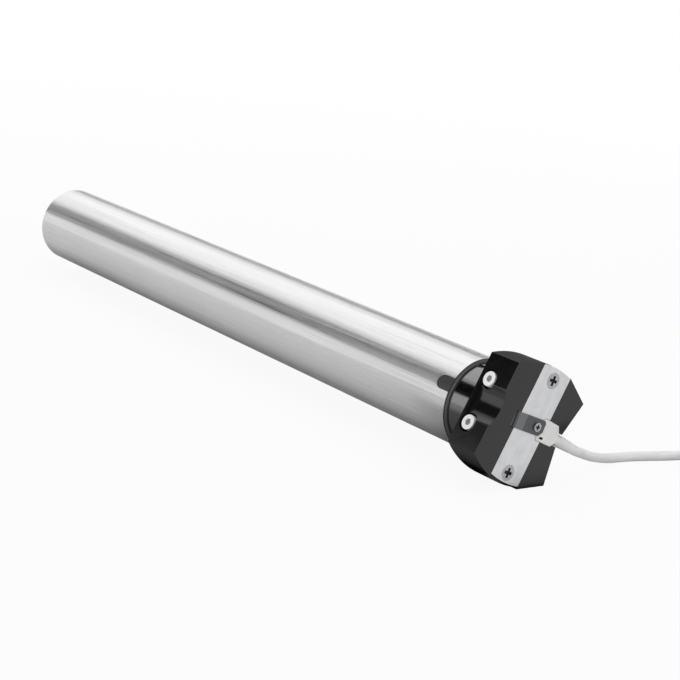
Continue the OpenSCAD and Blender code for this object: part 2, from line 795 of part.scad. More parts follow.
module capacitor() {
    front = cradle_x - cradle_plate + cradle_seat - fit_gap;
    color("#b7babd") {
        rod(front - capacitor_len, front, capacitor_d / 2);
        for (s = [-1, 1])
            translate([front - cut, s * terminal_y - terminal_t / 2, -terminal_w / 2])
                cube([terminal_h + cut, terminal_t, terminal_w]);
    }
}

// Motor end plate with its bearing seat, and the skirt that reaches the stator
module bell(plate_x, side) {
    inner_face = plate_x - side * bell_plate;
    color("#a8abae") as_it_lies() difference() {
        union() {
            rod(min(plate_x, inner_face), max(plate_x, inner_face), inner_r);
            hollow_rod(min(inner_face, inner_face - side * bell_skirt),
                max(inner_face, inner_face - side * bell_skirt), inner_r, winding_r1 + winding_room);
        }
        rod(min(inner_face - side * cut, inner_face + side * bearing_w),
            max(inner_face - side * cut, inner_face + side * bearing_w), bearing_d / 2 + fit_gap);
        rod(min(plate_x, inner_face) - cut, max(plate_x, inner_face) + cut,
            shaft_r + shaft_room);
        if (side > 0)
            translate([0, harness_y, wire_hole_z])
                rod(inner_face - cut, plate_x + cut, harness_r + gland_gap);
    }
}

module front_bell() { bell(bell_x, 1); }
module rear_bell() { bell(rear_bell_end, -1); }

module rotor_bearings() {
    front = bell_x - bell_plate;
    rear = rear_bell_end + bell_plate;
    color("#8e9195") {
        hollow_rod(front, front + bearing_w, bearing_d / 2, shaft_r + run_gap);
        hollow_rod(rear - bearing_w, rear, bearing_d / 2, shaft_r + run_gap);
    }
}

module stator_slots(w, h) {
    for (i = [0 : slot_count - 1])
        rotate(360 * i / slot_count) translate([slot_r - h / 2, -w / 2]) square([h, w]);
}

module stator_core() {
    color("#7d8084") bar(stator_end, stator_x) difference() {
        circle(r = inner_r);
        circle(d = stator_bore);
        stator_slots(slot_w, slot_h);
    }
}

module stator_winding() {
    color("#b5652b") {
        hollow_rod(stator_x, stator_x + winding_len, winding_r1, winding_r0);
        hollow_rod(stator_end - winding_len, stator_end, winding_r1, winding_r0);
        bar(stator_end - cut, stator_x + cut) stator_slots(slot_w - 2 * fit_gap, slot_h - 2 * fit_gap);
    }
}

module rotor_core() {
    color("#6f7276") {
        hollow_rod(stator_end, stator_x, rotor_r, shaft_r + fit_gap);
        hollow_rod(stator_x, stator_x + end_ring_len, rotor_r - end_ring_step, shaft_r + end_ring_wall);
        hollow_rod(stator_end - end_ring_len, stator_end, rotor_r - end_ring_step, shaft_r + end_ring_wall);
    }
}

module rotor_shaft() {
    color("#c0c2c5") {
        rod(brake_end, shaft_front, shaft_r);
        rod(gear_x - sun_len, brake_end, shaft_nose_r);
    }
}

// Electromagnet with its skirt over the brake, and three pins that guide the armature
module brake_magnet() {
    face = rear_bell_end - magnet_len;
    color("#5c5f63") {
        difference() {
            rod(face, rear_bell_end, inner_r);
            rod(face - cut, rear_bell_end + cut, shaft_r + shaft_room);
            rod(face - cut, face + spring_depth, spring_r + spring_room);
        }
        hollow_rod(brake_end + brake_wall, face, inner_r, skirt_in_r);
        for (a = guide_turns)
            rotate([a, 0, 0]) translate([0, brake_guide_r, 0])
                rod(armature_x - armature_t, face + cut, guide_d / 2);
    }
}

module brake_spring() {
    face = rear_bell_end - magnet_len;
    color("#8a8d91") hollow_rod(face, face + spring_depth, spring_r, spring_r - spring_wall);
}

module brake_armature() {
    color("#7a7d81") difference() {
        rod(armature_x - armature_t, armature_x, armature_r);
        rod(armature_x - armature_t - cut, armature_x + cut, shaft_r + armature_room);
        for (a = guide_turns)
            rotate([a, 0, 0]) translate([0, brake_guide_r, 0])
                rod(armature_x - armature_t - cut, armature_x + cut, guide_d / 2 + guide_room);
    }
}

module brake_lining() {
    back = armature_x - armature_t;
    color("#4a3b33") hollow_rod(back - lining_t, back, lining_r1, lining_r0);
}

module brake_disc() {
    front = armature_x - armature_t - lining_t - fit_gap;
    color("#96999d") difference() {
        rod(front - disc_t, front, skirt_in_r - disc_room);
        rod(front - disc_t - cut, front + cut, shaft_r + fit_gap);
    }
}

module gearbox_case() {
    color("#9da0a4") {
        difference() {
            rod(gear_end, brake_end, inner_r);
            bar(gear_end - cut, brake_end + cut)
                polygon(gear_points(gear_ring_teeth, gear_m, gear_ring_teeth * gear_m / 2 + gear_ded,
                    gear_ring_teeth * gear_m / 2 - gear_add, -gear_slack));
        }
        hollow_rod(brake_end, brake_end + brake_wall, inner_r, lip_r);
    }
}

module sun_gear(x0) {
    bar(x0 - sun_len, x0) polygon(gear_points(sun_teeth, gear_m, sun_teeth * gear_m / 2 + gear_add,
        sun_teeth * gear_m / 2 - gear_ded, gear_slack));
}

module motor_pinion() {
    color("#a9a27a") difference() {
        sun_gear(gear_x);
        rod(gear_x - sun_len - cut, gear_x + cut, shaft_nose_r + fit_gap);
    }
}

// Planet wheel of a stage, numbered from 0, at one of its three places
module planet(stage, place) {
    x0 = gear_x - stage * stage_len - planet_gap;
    color("#b1a878") rotate([120 * place, 0, 0]) translate([0, planet_orbit, 0]) difference() {
        bar(x0 - planet_w, x0) polygon(gear_points(planet_teeth, gear_m,
            planet_teeth * gear_m / 2 + gear_add, planet_teeth * gear_m / 2 - gear_ded, gear_slack));
        rod(x0 - planet_w - cut, x0 + cut, planet_pin_d / 2 + run_gap);
    }
}

module first_planet_a() { planet(0, 0); }
module first_planet_b() { planet(0, 1); }
module first_planet_c() { planet(0, 2); }
module second_planet_a() { planet(1, 0); }
module second_planet_b() { planet(1, 1); }
module second_planet_c() { planet(1, 2); }
module third_planet_a() { planet(2, 0); }
module third_planet_b() { planet(2, 1); }
module third_planet_c() { planet(2, 2); }

// Disc of a stage with the three pins of its planets
module carrier_disc(stage) {
    disc_x = gear_x - stage * stage_len - sun_len - carrier_gap;
    rod(disc_x - carrier_t, disc_x, carrier_r);
    for (place = [0 : 2])
        rotate([120 * place, 0, 0]) translate([0, planet_orbit, 0])
            rod(disc_x - carrier_t / 2, gear_x - stage * stage_len - planet_gap, planet_pin_d / 2);
}

module carrier(stage) {
    next_x = gear_x - (stage + 1) * stage_len;
    color("#8c8f93") {
        carrier_disc(stage);
        sun_gear(next_x);
        rod(next_x - cut, gear_x - stage * stage_len - sun_len - carrier_gap - carrier_t + cut,
            sun_teeth * gear_m / 2 - gear_ded);
    }
}

module first_carrier() { carrier(0); }
module second_carrier() { carrier(1); }

module output_shaft() {
    disc_back = gear_x - 2 * stage_len - sun_len - carrier_gap - carrier_t;
    color("#b4b6b9") {
        carrier_disc(2);
        difference() {
            union() {
                rod(-tube_len - journal_stop, disc_back + cut, journal_r);
                rod(-tube_len - flat_stop, -tube_len - journal_stop + cut, output_r);
                rod(-tube_len - output_len, -tube_len - flat_stop + cut, output_r - drive_step);
            }
            hollow_rod(circlip_x - circlip_t, circlip_x, journal_r + cut, journal_r - groove_depth);
            translate([-tube_len - output_len - cut, -output_r, output_r - output_flat])
                cube([output_len - flat_stop + cut, output_d, output_d]);
        }
    }
}

module output_bushes() {
    color("#a8843c") for (x = [-tube_len, -tube_len + end_cap_len - bush_len])
        hollow_rod(x, x + bush_len, bush_r, journal_r + run_gap);
}

module end_cap() {
    color("#55585c") difference() {
        rod(-tube_len, -tube_len + end_cap_len, inner_r);
        rod(-tube_len - cut, -tube_len + bush_len, bush_r + fit_gap);
        rod(-tube_len + bush_len - cut, -tube_len + end_cap_len - bush_len + cut,
            journal_r + shaft_room);
        rod(-tube_len + end_cap_len - bush_len, -tube_len + end_cap_len + cut, bush_r + fit_gap);
        for (i = [1 : cap_holes])
            rotate([(i - 0.5) * 360 / cap_holes, 0, 0]) translate([0, (bush_r + tube_in_r) / 2, 0])
                rod(-tube_len - cut, -tube_len + cap_hole_depth, cap_hole_d / 2);
    }
}

module shaft_circlip() {
    color("#3a3b3d") difference() {
        hollow_rod(circlip_x - circlip_t + fit_gap, circlip_x - fit_gap, circlip_r,
            journal_r - groove_depth + fit_gap);
        translate([circlip_x - circlip_t - cut, 0, -circlip_mouth / 2])
            cube([circlip_t + 2 * cut, output_d, circlip_mouth]);
    }
}

module cord_run() { color("#e4e4e4") swept_tube(run_points, cord_r, cord_sides); }
module cord_coil() { color("#e4e4e4") swept_tube(coil_points, cord_r, coil_sides); }
module cord_tail() { color("#e4e4e4") swept_tube(tail_points, cord_r, cord_sides); }

// Band round all the turns, on the far side of the coil
module coil_tie() {
    inner = coil_r - coil_pitch * (coil_turns + 0.25) - cord_r - tie_room;
    outer = coil_r + cord_r + tie_room;
    height = coil_pitch + cord_d + tie_room;
    color("#2c2d30") translate([coil_centre[0], coil_centre[1], floor_z]) rotate([90, 0, tie_turn])
        translate([inner - tie_t, 0, -tie_w / 2]) linear_extrude(tie_w) difference() {
            square([outer - inner + 2 * tie_t, height + 2 * tie_t]);
            translate([tie_t, tie_t]) square([outer - inner, height]);
        }
}

module cable_cores() {
    tip = tail_points[len(tail_points) - 1];
    way = unit(tip - tail_points[len(tail_points) - 2]);
    color("#7a5a3a") translate(tip) rotate([0, 0, atan2(way[1], way[0])]) {
        for (y = [-core_spread, core_spread], z = [-core_spread, core_spread])
            translate([0, y, z]) {
                rod(0, core_len - core_bare, core_d_small / 2);
                rod(core_len - core_bare, core_len, core_d_small / 2 - core_skin);
            }
    }
}

echo(coil_least_gap = coil_gap);
echo(cord_length = route_len(run_points) + route_len(coil_points) + route_len(tail_points));
echo(run = route_len(run_points), coil = route_len(coil_points), tail = route_len(tail_points));

tube();
end_collar();
head_body();
limit_ring();
mounting_strap();
strap_screws();
cable_clamp();
clamp_screw();
cable_gland();
strain_relief();
upper_limit_knob();
lower_limit_knob();
upper_adjuster();
lower_adjuster();
limit_frame();
limit_pinion();
upper_cam_wheel();
lower_cam_wheel();
limit_switches();
upper_switch_button();
lower_switch_button();
head_lid();
wiring_harness();
capacitor_cradle();
capacitor();
front_bell();
rear_bell();
rotor_bearings();
stator_core();
stator_winding();
rotor_core();
rotor_shaft();
brake_magnet();
brake_spring();
brake_armature();
brake_lining();
brake_disc();
gearbox_case();
motor_pinion();
first_planet_a();
first_planet_b();
first_planet_c();
first_carrier();
second_planet_a();
second_planet_b();
second_planet_c();
second_carrier();
third_planet_a();
third_planet_b();
third_planet_c();
output_shaft();
output_bushes();
end_cap();
shaft_circlip();
cord_run();
cord_coil();
cord_tail();
coil_tie();
cable_cores();
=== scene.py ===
# %% [markdown]
# This scene dresses a tubular motor for a roller blind: a long bright tube, a black mounting
# head with a steel strap, two white limit adjusters and a pale mains cable. The imported model
# already holds every piece at its place, so the first step only loads it and keeps its box,
# whose lowest point later sets the floor's height.

# %% Load the imported model
import json
import math

import bmesh
import bpy
from mathutils import Matrix, Quaternion, Vector


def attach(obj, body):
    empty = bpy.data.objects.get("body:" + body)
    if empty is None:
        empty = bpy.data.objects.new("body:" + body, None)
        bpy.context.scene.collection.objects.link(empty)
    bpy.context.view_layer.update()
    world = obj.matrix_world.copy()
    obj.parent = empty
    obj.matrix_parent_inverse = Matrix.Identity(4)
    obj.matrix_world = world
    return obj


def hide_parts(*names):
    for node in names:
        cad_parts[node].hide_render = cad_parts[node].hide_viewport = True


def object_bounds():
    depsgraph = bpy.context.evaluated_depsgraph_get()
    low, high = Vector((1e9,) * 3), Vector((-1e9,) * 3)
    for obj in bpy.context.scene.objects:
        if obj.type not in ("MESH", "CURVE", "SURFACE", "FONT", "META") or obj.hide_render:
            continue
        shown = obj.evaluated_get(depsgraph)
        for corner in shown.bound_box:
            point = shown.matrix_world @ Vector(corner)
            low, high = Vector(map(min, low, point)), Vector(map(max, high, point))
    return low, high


MM = 0.001

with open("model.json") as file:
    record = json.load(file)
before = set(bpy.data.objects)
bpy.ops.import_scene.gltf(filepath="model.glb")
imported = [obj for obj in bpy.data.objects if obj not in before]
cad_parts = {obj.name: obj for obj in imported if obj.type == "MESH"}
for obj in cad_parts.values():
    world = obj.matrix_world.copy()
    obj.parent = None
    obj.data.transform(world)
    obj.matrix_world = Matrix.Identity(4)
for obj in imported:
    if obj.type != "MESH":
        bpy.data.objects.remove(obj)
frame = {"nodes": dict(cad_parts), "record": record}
model_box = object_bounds()
SLOT_OF = {part["node"]: part["material_slot"] for part in frame["record"]["subparts"]}
print("nodes:", len(frame["nodes"]), "finishes:", len(set(SLOT_OF.values())))

# %% [markdown]
# The camera comes first, because the cable's hidden length has to lie outside its view. It
# stands in front of the head, a little above it, and looks along the tube. A long lens from
# a metre away gives the mild perspective of a product picture, and a small roll about the
# line of sight sets the tube at its slant in the picture.

# %% Camera
CAMERA_PLACE = Vector((0.7450, -0.7041, 0.27807))
LOOK_ALONG = Vector((-0.76208, 0.60269, -0.23662))
CAMERA_ROLL = math.radians(7.14)
CAMERA_LENS = 91.32
SENSOR_WIDTH = 36

camera = bpy.data.objects.new("camera", bpy.data.cameras.new("camera"))
bpy.context.scene.collection.objects.link(camera)
camera.data.lens = CAMERA_LENS
camera.data.sensor_width = SENSOR_WIDTH
camera.location = CAMERA_PLACE
camera.rotation_mode = "QUATERNION"
level_view = LOOK_ALONG.to_track_quat("-Z", "Y")
camera.rotation_quaternion = Quaternion(LOOK_ALONG.normalized(), -CAMERA_ROLL) @ level_view
bpy.context.scene.camera = camera
print("camera's right:", [round(v, 4) for v in camera.rotation_quaternion @ Vector((1, 0, 0))])

# %% [markdown]
# The cable is one flexible tube of fixed length. Its route starts in the strain relief, sinks
# to the surface and runs out of the picture, where the rest is wound into a coil of two
# layers: inwards below, a short climb, and outwards above. The free stretches are a few
# points joined by a smooth curve, and the coil is a spiral worked out turn by turn. Where the
# smooth curve dips into the surface, its points are lifted onto it.

# %% Route of the cable
CABLE_D = 6.2 * MM
CABLE_EXIT = Vector((42, 40.131, -18.051)) * MM
CABLE_WAY = Vector((0, 0.906308, -0.422618))
RUN_POINTS = [(38.5, 53, -23.4), (35, 62.5, -26.9), (31.5, 73, -30.4), (28, 85, -33.4),
              (25.8, 96, -35.2), (25.2, 107, -35.8), (27, 119, -35.8), (29.8, 131, -35.8),
              (32.6, 143, -35.8), (35.2, 156, -35.7), (37.8, 169, -35.5)]
TAIL_POINTS = [(133.8, 149.5, -30.9), (131.2, 138, -34.2), (129.4, 129.5, -35.8),
               (128, 123, -35.8)]
COIL_CENTRE = Vector((91, 182)) * MM
COIL_R = 48.8 * MM
COIL_PITCH = 6.8 * MM
COIL_TURNS = 3.5
CLIMB_TURN = 0.5
COIL_START = 168
COIL_LOW = -35.2 * MM
CABLE_LOW = -35.8 * MM
TURN_STEPS = 48
CURVE_STEPS = 6


def coil_point(turns):
    """Point of the cable after that many turns of the coil."""
    inner = COIL_R - COIL_PITCH * COIL_TURNS
    back = turns - COIL_TURNS
    if back <= 0:
        radius = COIL_R - COIL_PITCH * turns
    elif back <= CLIMB_TURN:
        radius = inner - COIL_PITCH * min(back, CLIMB_TURN - back)
    else:
        radius = inner + COIL_PITCH * (back - CLIMB_TURN)
    climb = max(0.0, min(1.0, back / CLIMB_TURN))
    angle = math.radians(COIL_START - 360 * turns)
    return Vector((COIL_CENTRE.x + radius * math.cos(angle),
                   COIL_CENTRE.y + radius * math.sin(angle),
                   COIL_LOW + COIL_PITCH * climb))


def smooth_line(points):
    """Points of a smooth curve through the given ones."""
    line = []
    for i in range(len(points) - 1):
        before, here = points[max(i - 1, 0)], points[i]
        there, after = points[i + 1], points[min(i + 2, len(points) - 1)]
        for k in range(CURVE_STEPS):
            t = k / CURVE_STEPS
            line.append(0.5 * (2 * here + (there - before) * t
                               + (2 * before - 5 * here + 4 * there - after) * t ** 2
                               + (3 * here - before - 3 * there + after) * t ** 3))
    return line


coil_steps = int((2 * COIL_TURNS + CLIMB_TURN) * TURN_STEPS)
coil_line = [coil_point(step / TURN_STEPS) for step in range(coil_steps + 1)]
cable_tip = Vector(TAIL_POINTS[-1]) * MM
lead_in = (coil_line[0] - coil_line[1]).normalized() * CABLE_D
lead_out = (coil_line[-1] - coil_line[-2]).normalized() * CABLE_D
run_line = smooth_line([CABLE_EXIT, CABLE_EXIT + CABLE_WAY * CABLE_D]
                       + [Vector(p) * MM for p in RUN_POINTS]
                       + [coil_line[0] + 2 * lead_in, coil_line[0] + lead_in, coil_line[0]])
tail_line = smooth_line([coil_line[-1], coil_line[-1] + lead_out, coil_line[-1] + 2 * lead_out]
                        + [Vector(p) * MM for p in TAIL_POINTS])
cable_line = run_line + coil_line + tail_line[1:] + [cable_tip]
for point in cable_line:
    point.z = max(point.z, CABLE_LOW)
cable_length = sum((b - a).length for a, b in zip(cable_line, cable_line[1:]))
print("cable length in m:", round(cable_length, 4), "points:", len(cable_line))

# %% [markdown]
# A curve with a round bevel is the natural way to draw the sheath. It becomes a mesh at once,
# because the mesh brings a map along and round the cable, which the finish will follow. The
# piece stands for the three plain solids of the cable's run, coil and tail.

# %% Sheath of the cable
SHEATH_SMOOTH = 4


def link(name, data):
    """A new object of that data in the scene."""
    piece = bpy.data.objects.new(name, data)
    bpy.context.scene.collection.objects.link(piece)
    return piece


sheath_curve = bpy.data.curves.new("sheath_curve", "CURVE")
sheath_curve.dimensions = "3D"
sheath_curve.bevel_depth = CABLE_D / 2
sheath_curve.bevel_resolution = SHEATH_SMOOTH
sheath_curve.use_fill_caps = True
spline = sheath_curve.splines.new("POLY")
spline.points.add(len(cable_line) - 1)
for point, place in zip(spline.points, cable_line):
    point.co = (*place, 1)
drawn = link("sheath_curve", sheath_curve)
sheath_mesh = bpy.data.meshes.new_from_object(
    drawn.evaluated_get(bpy.context.evaluated_depsgraph_get()))
bpy.data.objects.remove(drawn)
sheath_mesh.shade_smooth()
cable = link("mains_cable", sheath_mesh)
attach(cable, "motor")
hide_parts("cord_run", "cord_coil", "cord_tail")
dressed = {cable: ["cable_white"]}
print("sheath faces:", len(sheath_mesh.polygons), "maps:", [m.name for m in sheath_mesh.uv_layers])

# %% [markdown]
# Most pieces keep the exact shape of the model but get the small rounded edges of a moulded,
# punched or turned piece, because those edges catch the light. A copy of the model's mesh is
# merged, its flat faces are joined, and only its sharp edges are bevelled. Bevels are kept from
# running into each other, so a short edge, as at the holes of the head, keeps all the bevels of
# its piece narrow.

# %% Rounded copies of the model's pieces
SHARP = math.radians(32)
FLAT = math.radians(0.5)
WELD = 0.001 * MM
HAIR = 0.01 * MM


def merged_copy(node):
    """The mesh of a node with its points merged and its flat faces joined."""
    bm = bmesh.new()
    bm.from_mesh(frame["nodes"][node].data)
    bmesh.ops.remove_doubles(bm, verts=bm.verts, dist=WELD)
    bmesh.ops.dissolve_limit(bm, angle_limit=FLAT, verts=bm.verts, edges=bm.edges)
    return bm


def sharp_edges(bm):
    """The edges at which two faces meet at more than the sharp angle."""
    return [e for e in bm.edges if len(e.link_faces) == 2 and e.calc_face_angle(0) > SHARP]


def round_off(bm, edges, width, segments=2):
    """Bevels these edges to that width, or as far as there is room."""
    bmesh.ops.bevel(bm, geom=edges, offset=width, offset_type="OFFSET", segments=segments,
                    profile=0.5, affect="EDGES", clamp_overlap=True, material=-1)


def as_mesh(bm, name="shape"):
    """Ends a bmesh as a mesh."""
    mesh = bpy.data.meshes.new(name)
    bm.to_mesh(mesh)
    bm.free()
    return mesh


def dress(bm, name, body, nodes, extra_slots=()):
    """Ends a bmesh as a piece that rides on a body and stands for the nodes."""
    mesh = as_mesh(bm, name)
    mesh.shade_smooth()
    mesh.set_sharp_from_angle(angle=SHARP)
    piece = link(name, mesh)
    piece.modifiers.new("even_light", "WEIGHTED_NORMAL").keep_sharp = True
    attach(piece, body)
    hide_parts(*nodes)
    dressed[piece] = [SLOT_OF[nodes[0]], *extra_slots]
    print(name, "faces:", len(mesh.polygons))
    return piece


print("edges are sharp from", round(math.degrees(SHARP)), "degrees")

# %% [markdown]
# Five pieces need little more than that. The motor lies on a sloped side of its head, so the
# head's own axes are turned about the motor's. Two places are drawn closer than the model has
# them: the recess round the clamp's foot is narrower, and the lower end of the strap leaves a
# sliver of the head free. The head's upper side is the rough side of its mould, so it gets a
# duller black than the rest.

# %% Head, strap and end pieces
LIE_ANGLE = math.radians(25)
LIES = Matrix.Rotation(-LIE_ANGLE, 4, "X")
UPRIGHT = LIES.inverted()
ROUNDED = {"head_body": 0.5, "mounting_strap": 0.25, "strain_relief": 0.3,
           "output_shaft": 0.3, "end_cap": 0.4}
NUDGES = {"head_body": [((43, -17.5, 7.5), (47, -12.6, 7.9), (0, 0, -2.8)),
                        ((43, -17.5, -6.3), (47, -12.6, -5.9), (0, 0, 0.3)),
                        ((43, -17.5, -7), (47, -17.1, 8), (0, 0.45, 0))],
          "mounting_strap": [((40, -14, -39), (47, 14, -36.1), (0, 0, 1.4))]}
FACES_UP = 0.5


def nudge(bm, lowest, highest, shift):
    """Moves the points within that box, all three in mm along the head's own axes."""
    for v in bm.verts:
        place = (UPRIGHT @ v.co) / MM
        if all(a < c < b for a, c, b in zip(lowest, place, highest)):
            v.co += LIES @ (Vector(shift) * MM)


for node, width in ROUNDED.items():
    shape = merged_copy(node)
    for lowest, highest, shift in NUDGES.get(node, []):
        nudge(shape, lowest, highest, shift)
    round_off(shape, sharp_edges(shape), width * MM)
    if node == "head_body":
        for face in shape.faces:
            face.material_index = (UPRIGHT @ face.normal).z > FACES_UP
    dress(shape, "dressed_" + node, "output" if node == "output_shaft" else "motor", [node],
          ["dull_black"] if node == "head_body" else [])

# %% [markdown]
# The tube and the collar in its mouth are turned pieces: a small profile of the wall is spun
# about the motor's axis. Where a piece is cut, a Boolean modifier takes one shape from the
# other, and its result is kept as a new mesh.

# %% Turned and cut shapes
AROUND = 144


def turned(profile):
    """A closed profile of x and radius in mm, spun about the motor's axis."""
    bm = bmesh.new()
    corners = [bm.verts.new((x * MM, 0, r * MM)) for x, r in profile]
    edges = [bm.edges.new(pair) for pair in zip(corners, corners[1:] + corners[:1])]
    bmesh.ops.spin(bm, geom=corners + edges, cent=(0, 0, 0), axis=(1, 0, 0), dvec=(0, 0, 0),
                   angle=2 * math.pi, steps=AROUND, use_merge=True, use_duplicate=False)
    bmesh.ops.recalc_face_normals(bm, faces=bm.faces)
    return bm


def new_points(made):
    """The points that an extrusion has made."""
    return [part for part in made["geom"] if isinstance(part, bmesh.types.BMVert)]


def thickened(bm, depth):
    """A flat sheet in the XY plane drawn up to a closed block."""
    drawn = bmesh.ops.extrude_face_region(bm, geom=bm.faces[:])
    bmesh.ops.translate(bm, vec=(0, 0, depth), verts=new_points(drawn))
    bmesh.ops.recalc_face_normals(bm, faces=bm.faces)
    return bm


def carved(bm, cutter):
    """The first shape without what the second one takes away."""
    body, tool = (link("shape", as_mesh(shape)) for shape in (bm, cutter))
    cut = body.modifiers.new("cut", "BOOLEAN")
    cut.operation, cut.solver, cut.object = "DIFFERENCE", "EXACT", tool
    result = bmesh.new()
    result.from_mesh(bpy.data.meshes.new_from_object(
        body.evaluated_get(bpy.context.evaluated_depsgraph_get())))
    for piece in (body, tool):
        bpy.data.objects.remove(piece)
    return result


def add_shape(bm, other):
    """Puts a second shape into the first one's mesh."""
    bm.from_mesh(as_mesh(other))


print("steps round a turned piece:", AROUND)

# %% [markdown]
# The collar's tongue keys it to the tube and fills a slot with a round end. Both come from the
# same flat sheet, a circle whose one half is drawn out to the tube's mouth. For the slot it is
# made thick and cut from the wall. For the tongue it is parted into strips, bent round the
# tube's radius and given the thickness of the wall. The face of the flange outside the mouth
# gets a paler finish than the rest, painted light where the head keeps it in shade, and its rim
# gets the near-black finish of the recesses.

# %% Tube and collar
TUBE_WALL_PROFILE = [(-525, 28.0), (-525, 29.5), (0, 29.5), (0, 28.0)]
COLLAR_PROFILE = [(-14, 24.05), (-14, 27.95), (0, 27.95), (0, 29.5), (1, 29.5), (1, 24.05)]
FLANGE_FACE_X = 0.2 * MM
FLANGE_RIM_R = 29.35 * MM
TUBE_R = 29.5 * MM
TUBE_WALL = 1.5 * MM
TUBE_EDGE = 0.2 * MM
COLLAR_EDGE = 0.15 * MM
TONGUE_W = 8.8 * MM
TONGUE_LEN = 12.4 * MM
TONGUE_GAP = 0.25 * MM
TONGUE_ROOT = 0.16 * MM
SLOT_PAST_MOUTH = 2 * MM
SLOT_BASE_R = TUBE_R - 4 * MM
SLOT_HEIGHT = 5 * MM
TONGUE_SIDE = LIES @ Matrix.Rotation(math.radians(-3.8), 4, "X")
TONGUE_STRIPS = 12
TIP_SEGMENTS = 48


def tongue_sheet(width, length, mouth):
    """A flat sheet with a round end towards -X and its straight end at the mouth."""
    bm = bmesh.new()
    bmesh.ops.create_circle(bm, cap_ends=True, radius=width / 2, segments=TIP_SEGMENTS)
    bmesh.ops.translate(bm, vec=(width / 2 - length, 0, 0), verts=bm.verts)
    root = [v for v in bm.verts if v.co.x > width / 2 - length + HAIR]
    bmesh.ops.scale(bm, vec=(0, 1, 1), verts=root)
    bmesh.ops.translate(bm, vec=(mouth, 0, 0), verts=root)
    return bm


tube_shape = turned(TUBE_WALL_PROFILE)
round_off(tube_shape, sharp_edges(tube_shape), TUBE_EDGE)
slot = thickened(tongue_sheet(TONGUE_W + 2 * TONGUE_GAP, TONGUE_LEN + TONGUE_GAP,
                              SLOT_PAST_MOUTH), SLOT_HEIGHT)
bmesh.ops.rotate(slot, matrix=Matrix.Rotation(math.pi / 2, 3, "X"), verts=slot.verts)
bmesh.ops.translate(slot, vec=(0, -SLOT_BASE_R, 0), verts=slot.verts)
bmesh.ops.transform(slot, matrix=TONGUE_SIDE, verts=slot.verts)
dress(carved(tube_shape, slot), "drawn_tube", "motor", ["tube"])

tongue = tongue_sheet(TONGUE_W, TONGUE_LEN, TONGUE_ROOT)
for strip in range(1, TONGUE_STRIPS):
    bmesh.ops.bisect_plane(tongue, geom=tongue.verts[:] + tongue.edges[:] + tongue.faces[:],
                           plane_co=(0, TONGUE_W * (strip / TONGUE_STRIPS - 0.5), 0),
                           plane_no=(0, 1, 0))
for corner in tongue.verts:
    bend = math.asin(corner.co.y / TUBE_R)
    corner.co.yz = -TUBE_R * math.cos(bend), TUBE_R * math.sin(bend)
bmesh.ops.recalc_face_normals(tongue, faces=tongue.faces)
if tongue.faces[0].normal.y > 0:
    bmesh.ops.reverse_faces(tongue, faces=tongue.faces)
bmesh.ops.solidify(tongue, geom=tongue.faces[:], thickness=TUBE_WALL)
print("tongue from radius", round(min(v.co.yz.length for v in tongue.verts) / MM, 2),
      "to", round(max(v.co.yz.length for v in tongue.verts) / MM, 2),
      "volume in mm3:", round(tongue.calc_volume(signed=True) / MM ** 3, 1))
round_off(tongue, sharp_edges(tongue), COLLAR_EDGE)
bmesh.ops.transform(tongue, matrix=TONGUE_SIDE, verts=tongue.verts)
collar = turned(COLLAR_PROFILE)
round_off(collar, sharp_edges(collar), COLLAR_EDGE)
add_shape(collar, tongue)
# The flange's face gets the paler finish, which is painted light; its rim gets the near-black one.
for face in collar.faces:
    middle = face.calc_center_median()
    if middle.x > FLANGE_FACE_X:
        face.material_index = 2 if middle.yz.length > FLANGE_RIM_R else 1
dress(collar, "keyed_collar", "motor", ["end_collar"], ["collar_painted_light", "recess_dark"])

# %% [markdown]
# The cable gland is a moulded block with soft edges. A short slot in its face, next to the
# strap, is where its lock is reached with a screwdriver. The slot lies in shade, so its walls
# get the dark finish of the screws' recesses.

# %% Cable gland
GLAND_FACE = 46.3 * MM
GLAND_SLOT_PLACE = Vector((0, 12.0, -3.1)) * MM
GLAND_SLOT_LEN = 3.4 * MM
GLAND_SLOT_W = 1.5 * MM
GLAND_SLOT_DEPTH = 1.2 * MM
GLAND_SLOT_TURN = math.radians(6)
GLAND_EDGE = 0.45 * MM
SLOT_SEGMENTS = 24
SHEET_TO_FACE = Matrix(((0, 0, 1, 0), (1, 0, 0, 0), (0, 1, 0, 0), (0, 0, 0, 1)))

gland = merged_copy("cable_gland")
round_off(gland, sharp_edges(gland), GLAND_EDGE)
slot_sheet = bmesh.new()
bmesh.ops.create_circle(slot_sheet, cap_ends=True, radius=GLAND_SLOT_W / 2,
                        segments=SLOT_SEGMENTS)
for side in (-1, 1):
    bmesh.ops.translate(slot_sheet, vec=(side * (GLAND_SLOT_LEN - GLAND_SLOT_W) / 2, 0, 0),
                        verts=[v for v in slot_sheet.verts if side * v.co.x > WELD])
slot = thickened(slot_sheet, 2 * GLAND_SLOT_DEPTH)
slot_base = GLAND_SLOT_PLACE + Vector((GLAND_FACE - GLAND_SLOT_DEPTH, 0, 0))
into_gland = (LIES @ Matrix.Translation(slot_base) @ Matrix.Rotation(GLAND_SLOT_TURN, 4, "X")
              @ SHEET_TO_FACE)
bmesh.ops.transform(slot, matrix=into_gland, verts=slot.verts)
gland = carved(gland, slot)
for face in gland.faces:
    middle = into_gland.inverted() @ face.calc_center_median()
    if (abs(middle.x) < GLAND_SLOT_LEN / 2 + HAIR and abs(middle.y) < GLAND_SLOT_W / 2 + HAIR
            and -HAIR < middle.z < GLAND_SLOT_DEPTH - HAIR):
        face.material_index = 1
print("dark faces of the gland's slot:", sum(f.material_index for f in gland.faces))
dress(gland, "moulded_gland", "motor", ["cable_gland"], ["recess_dark"])
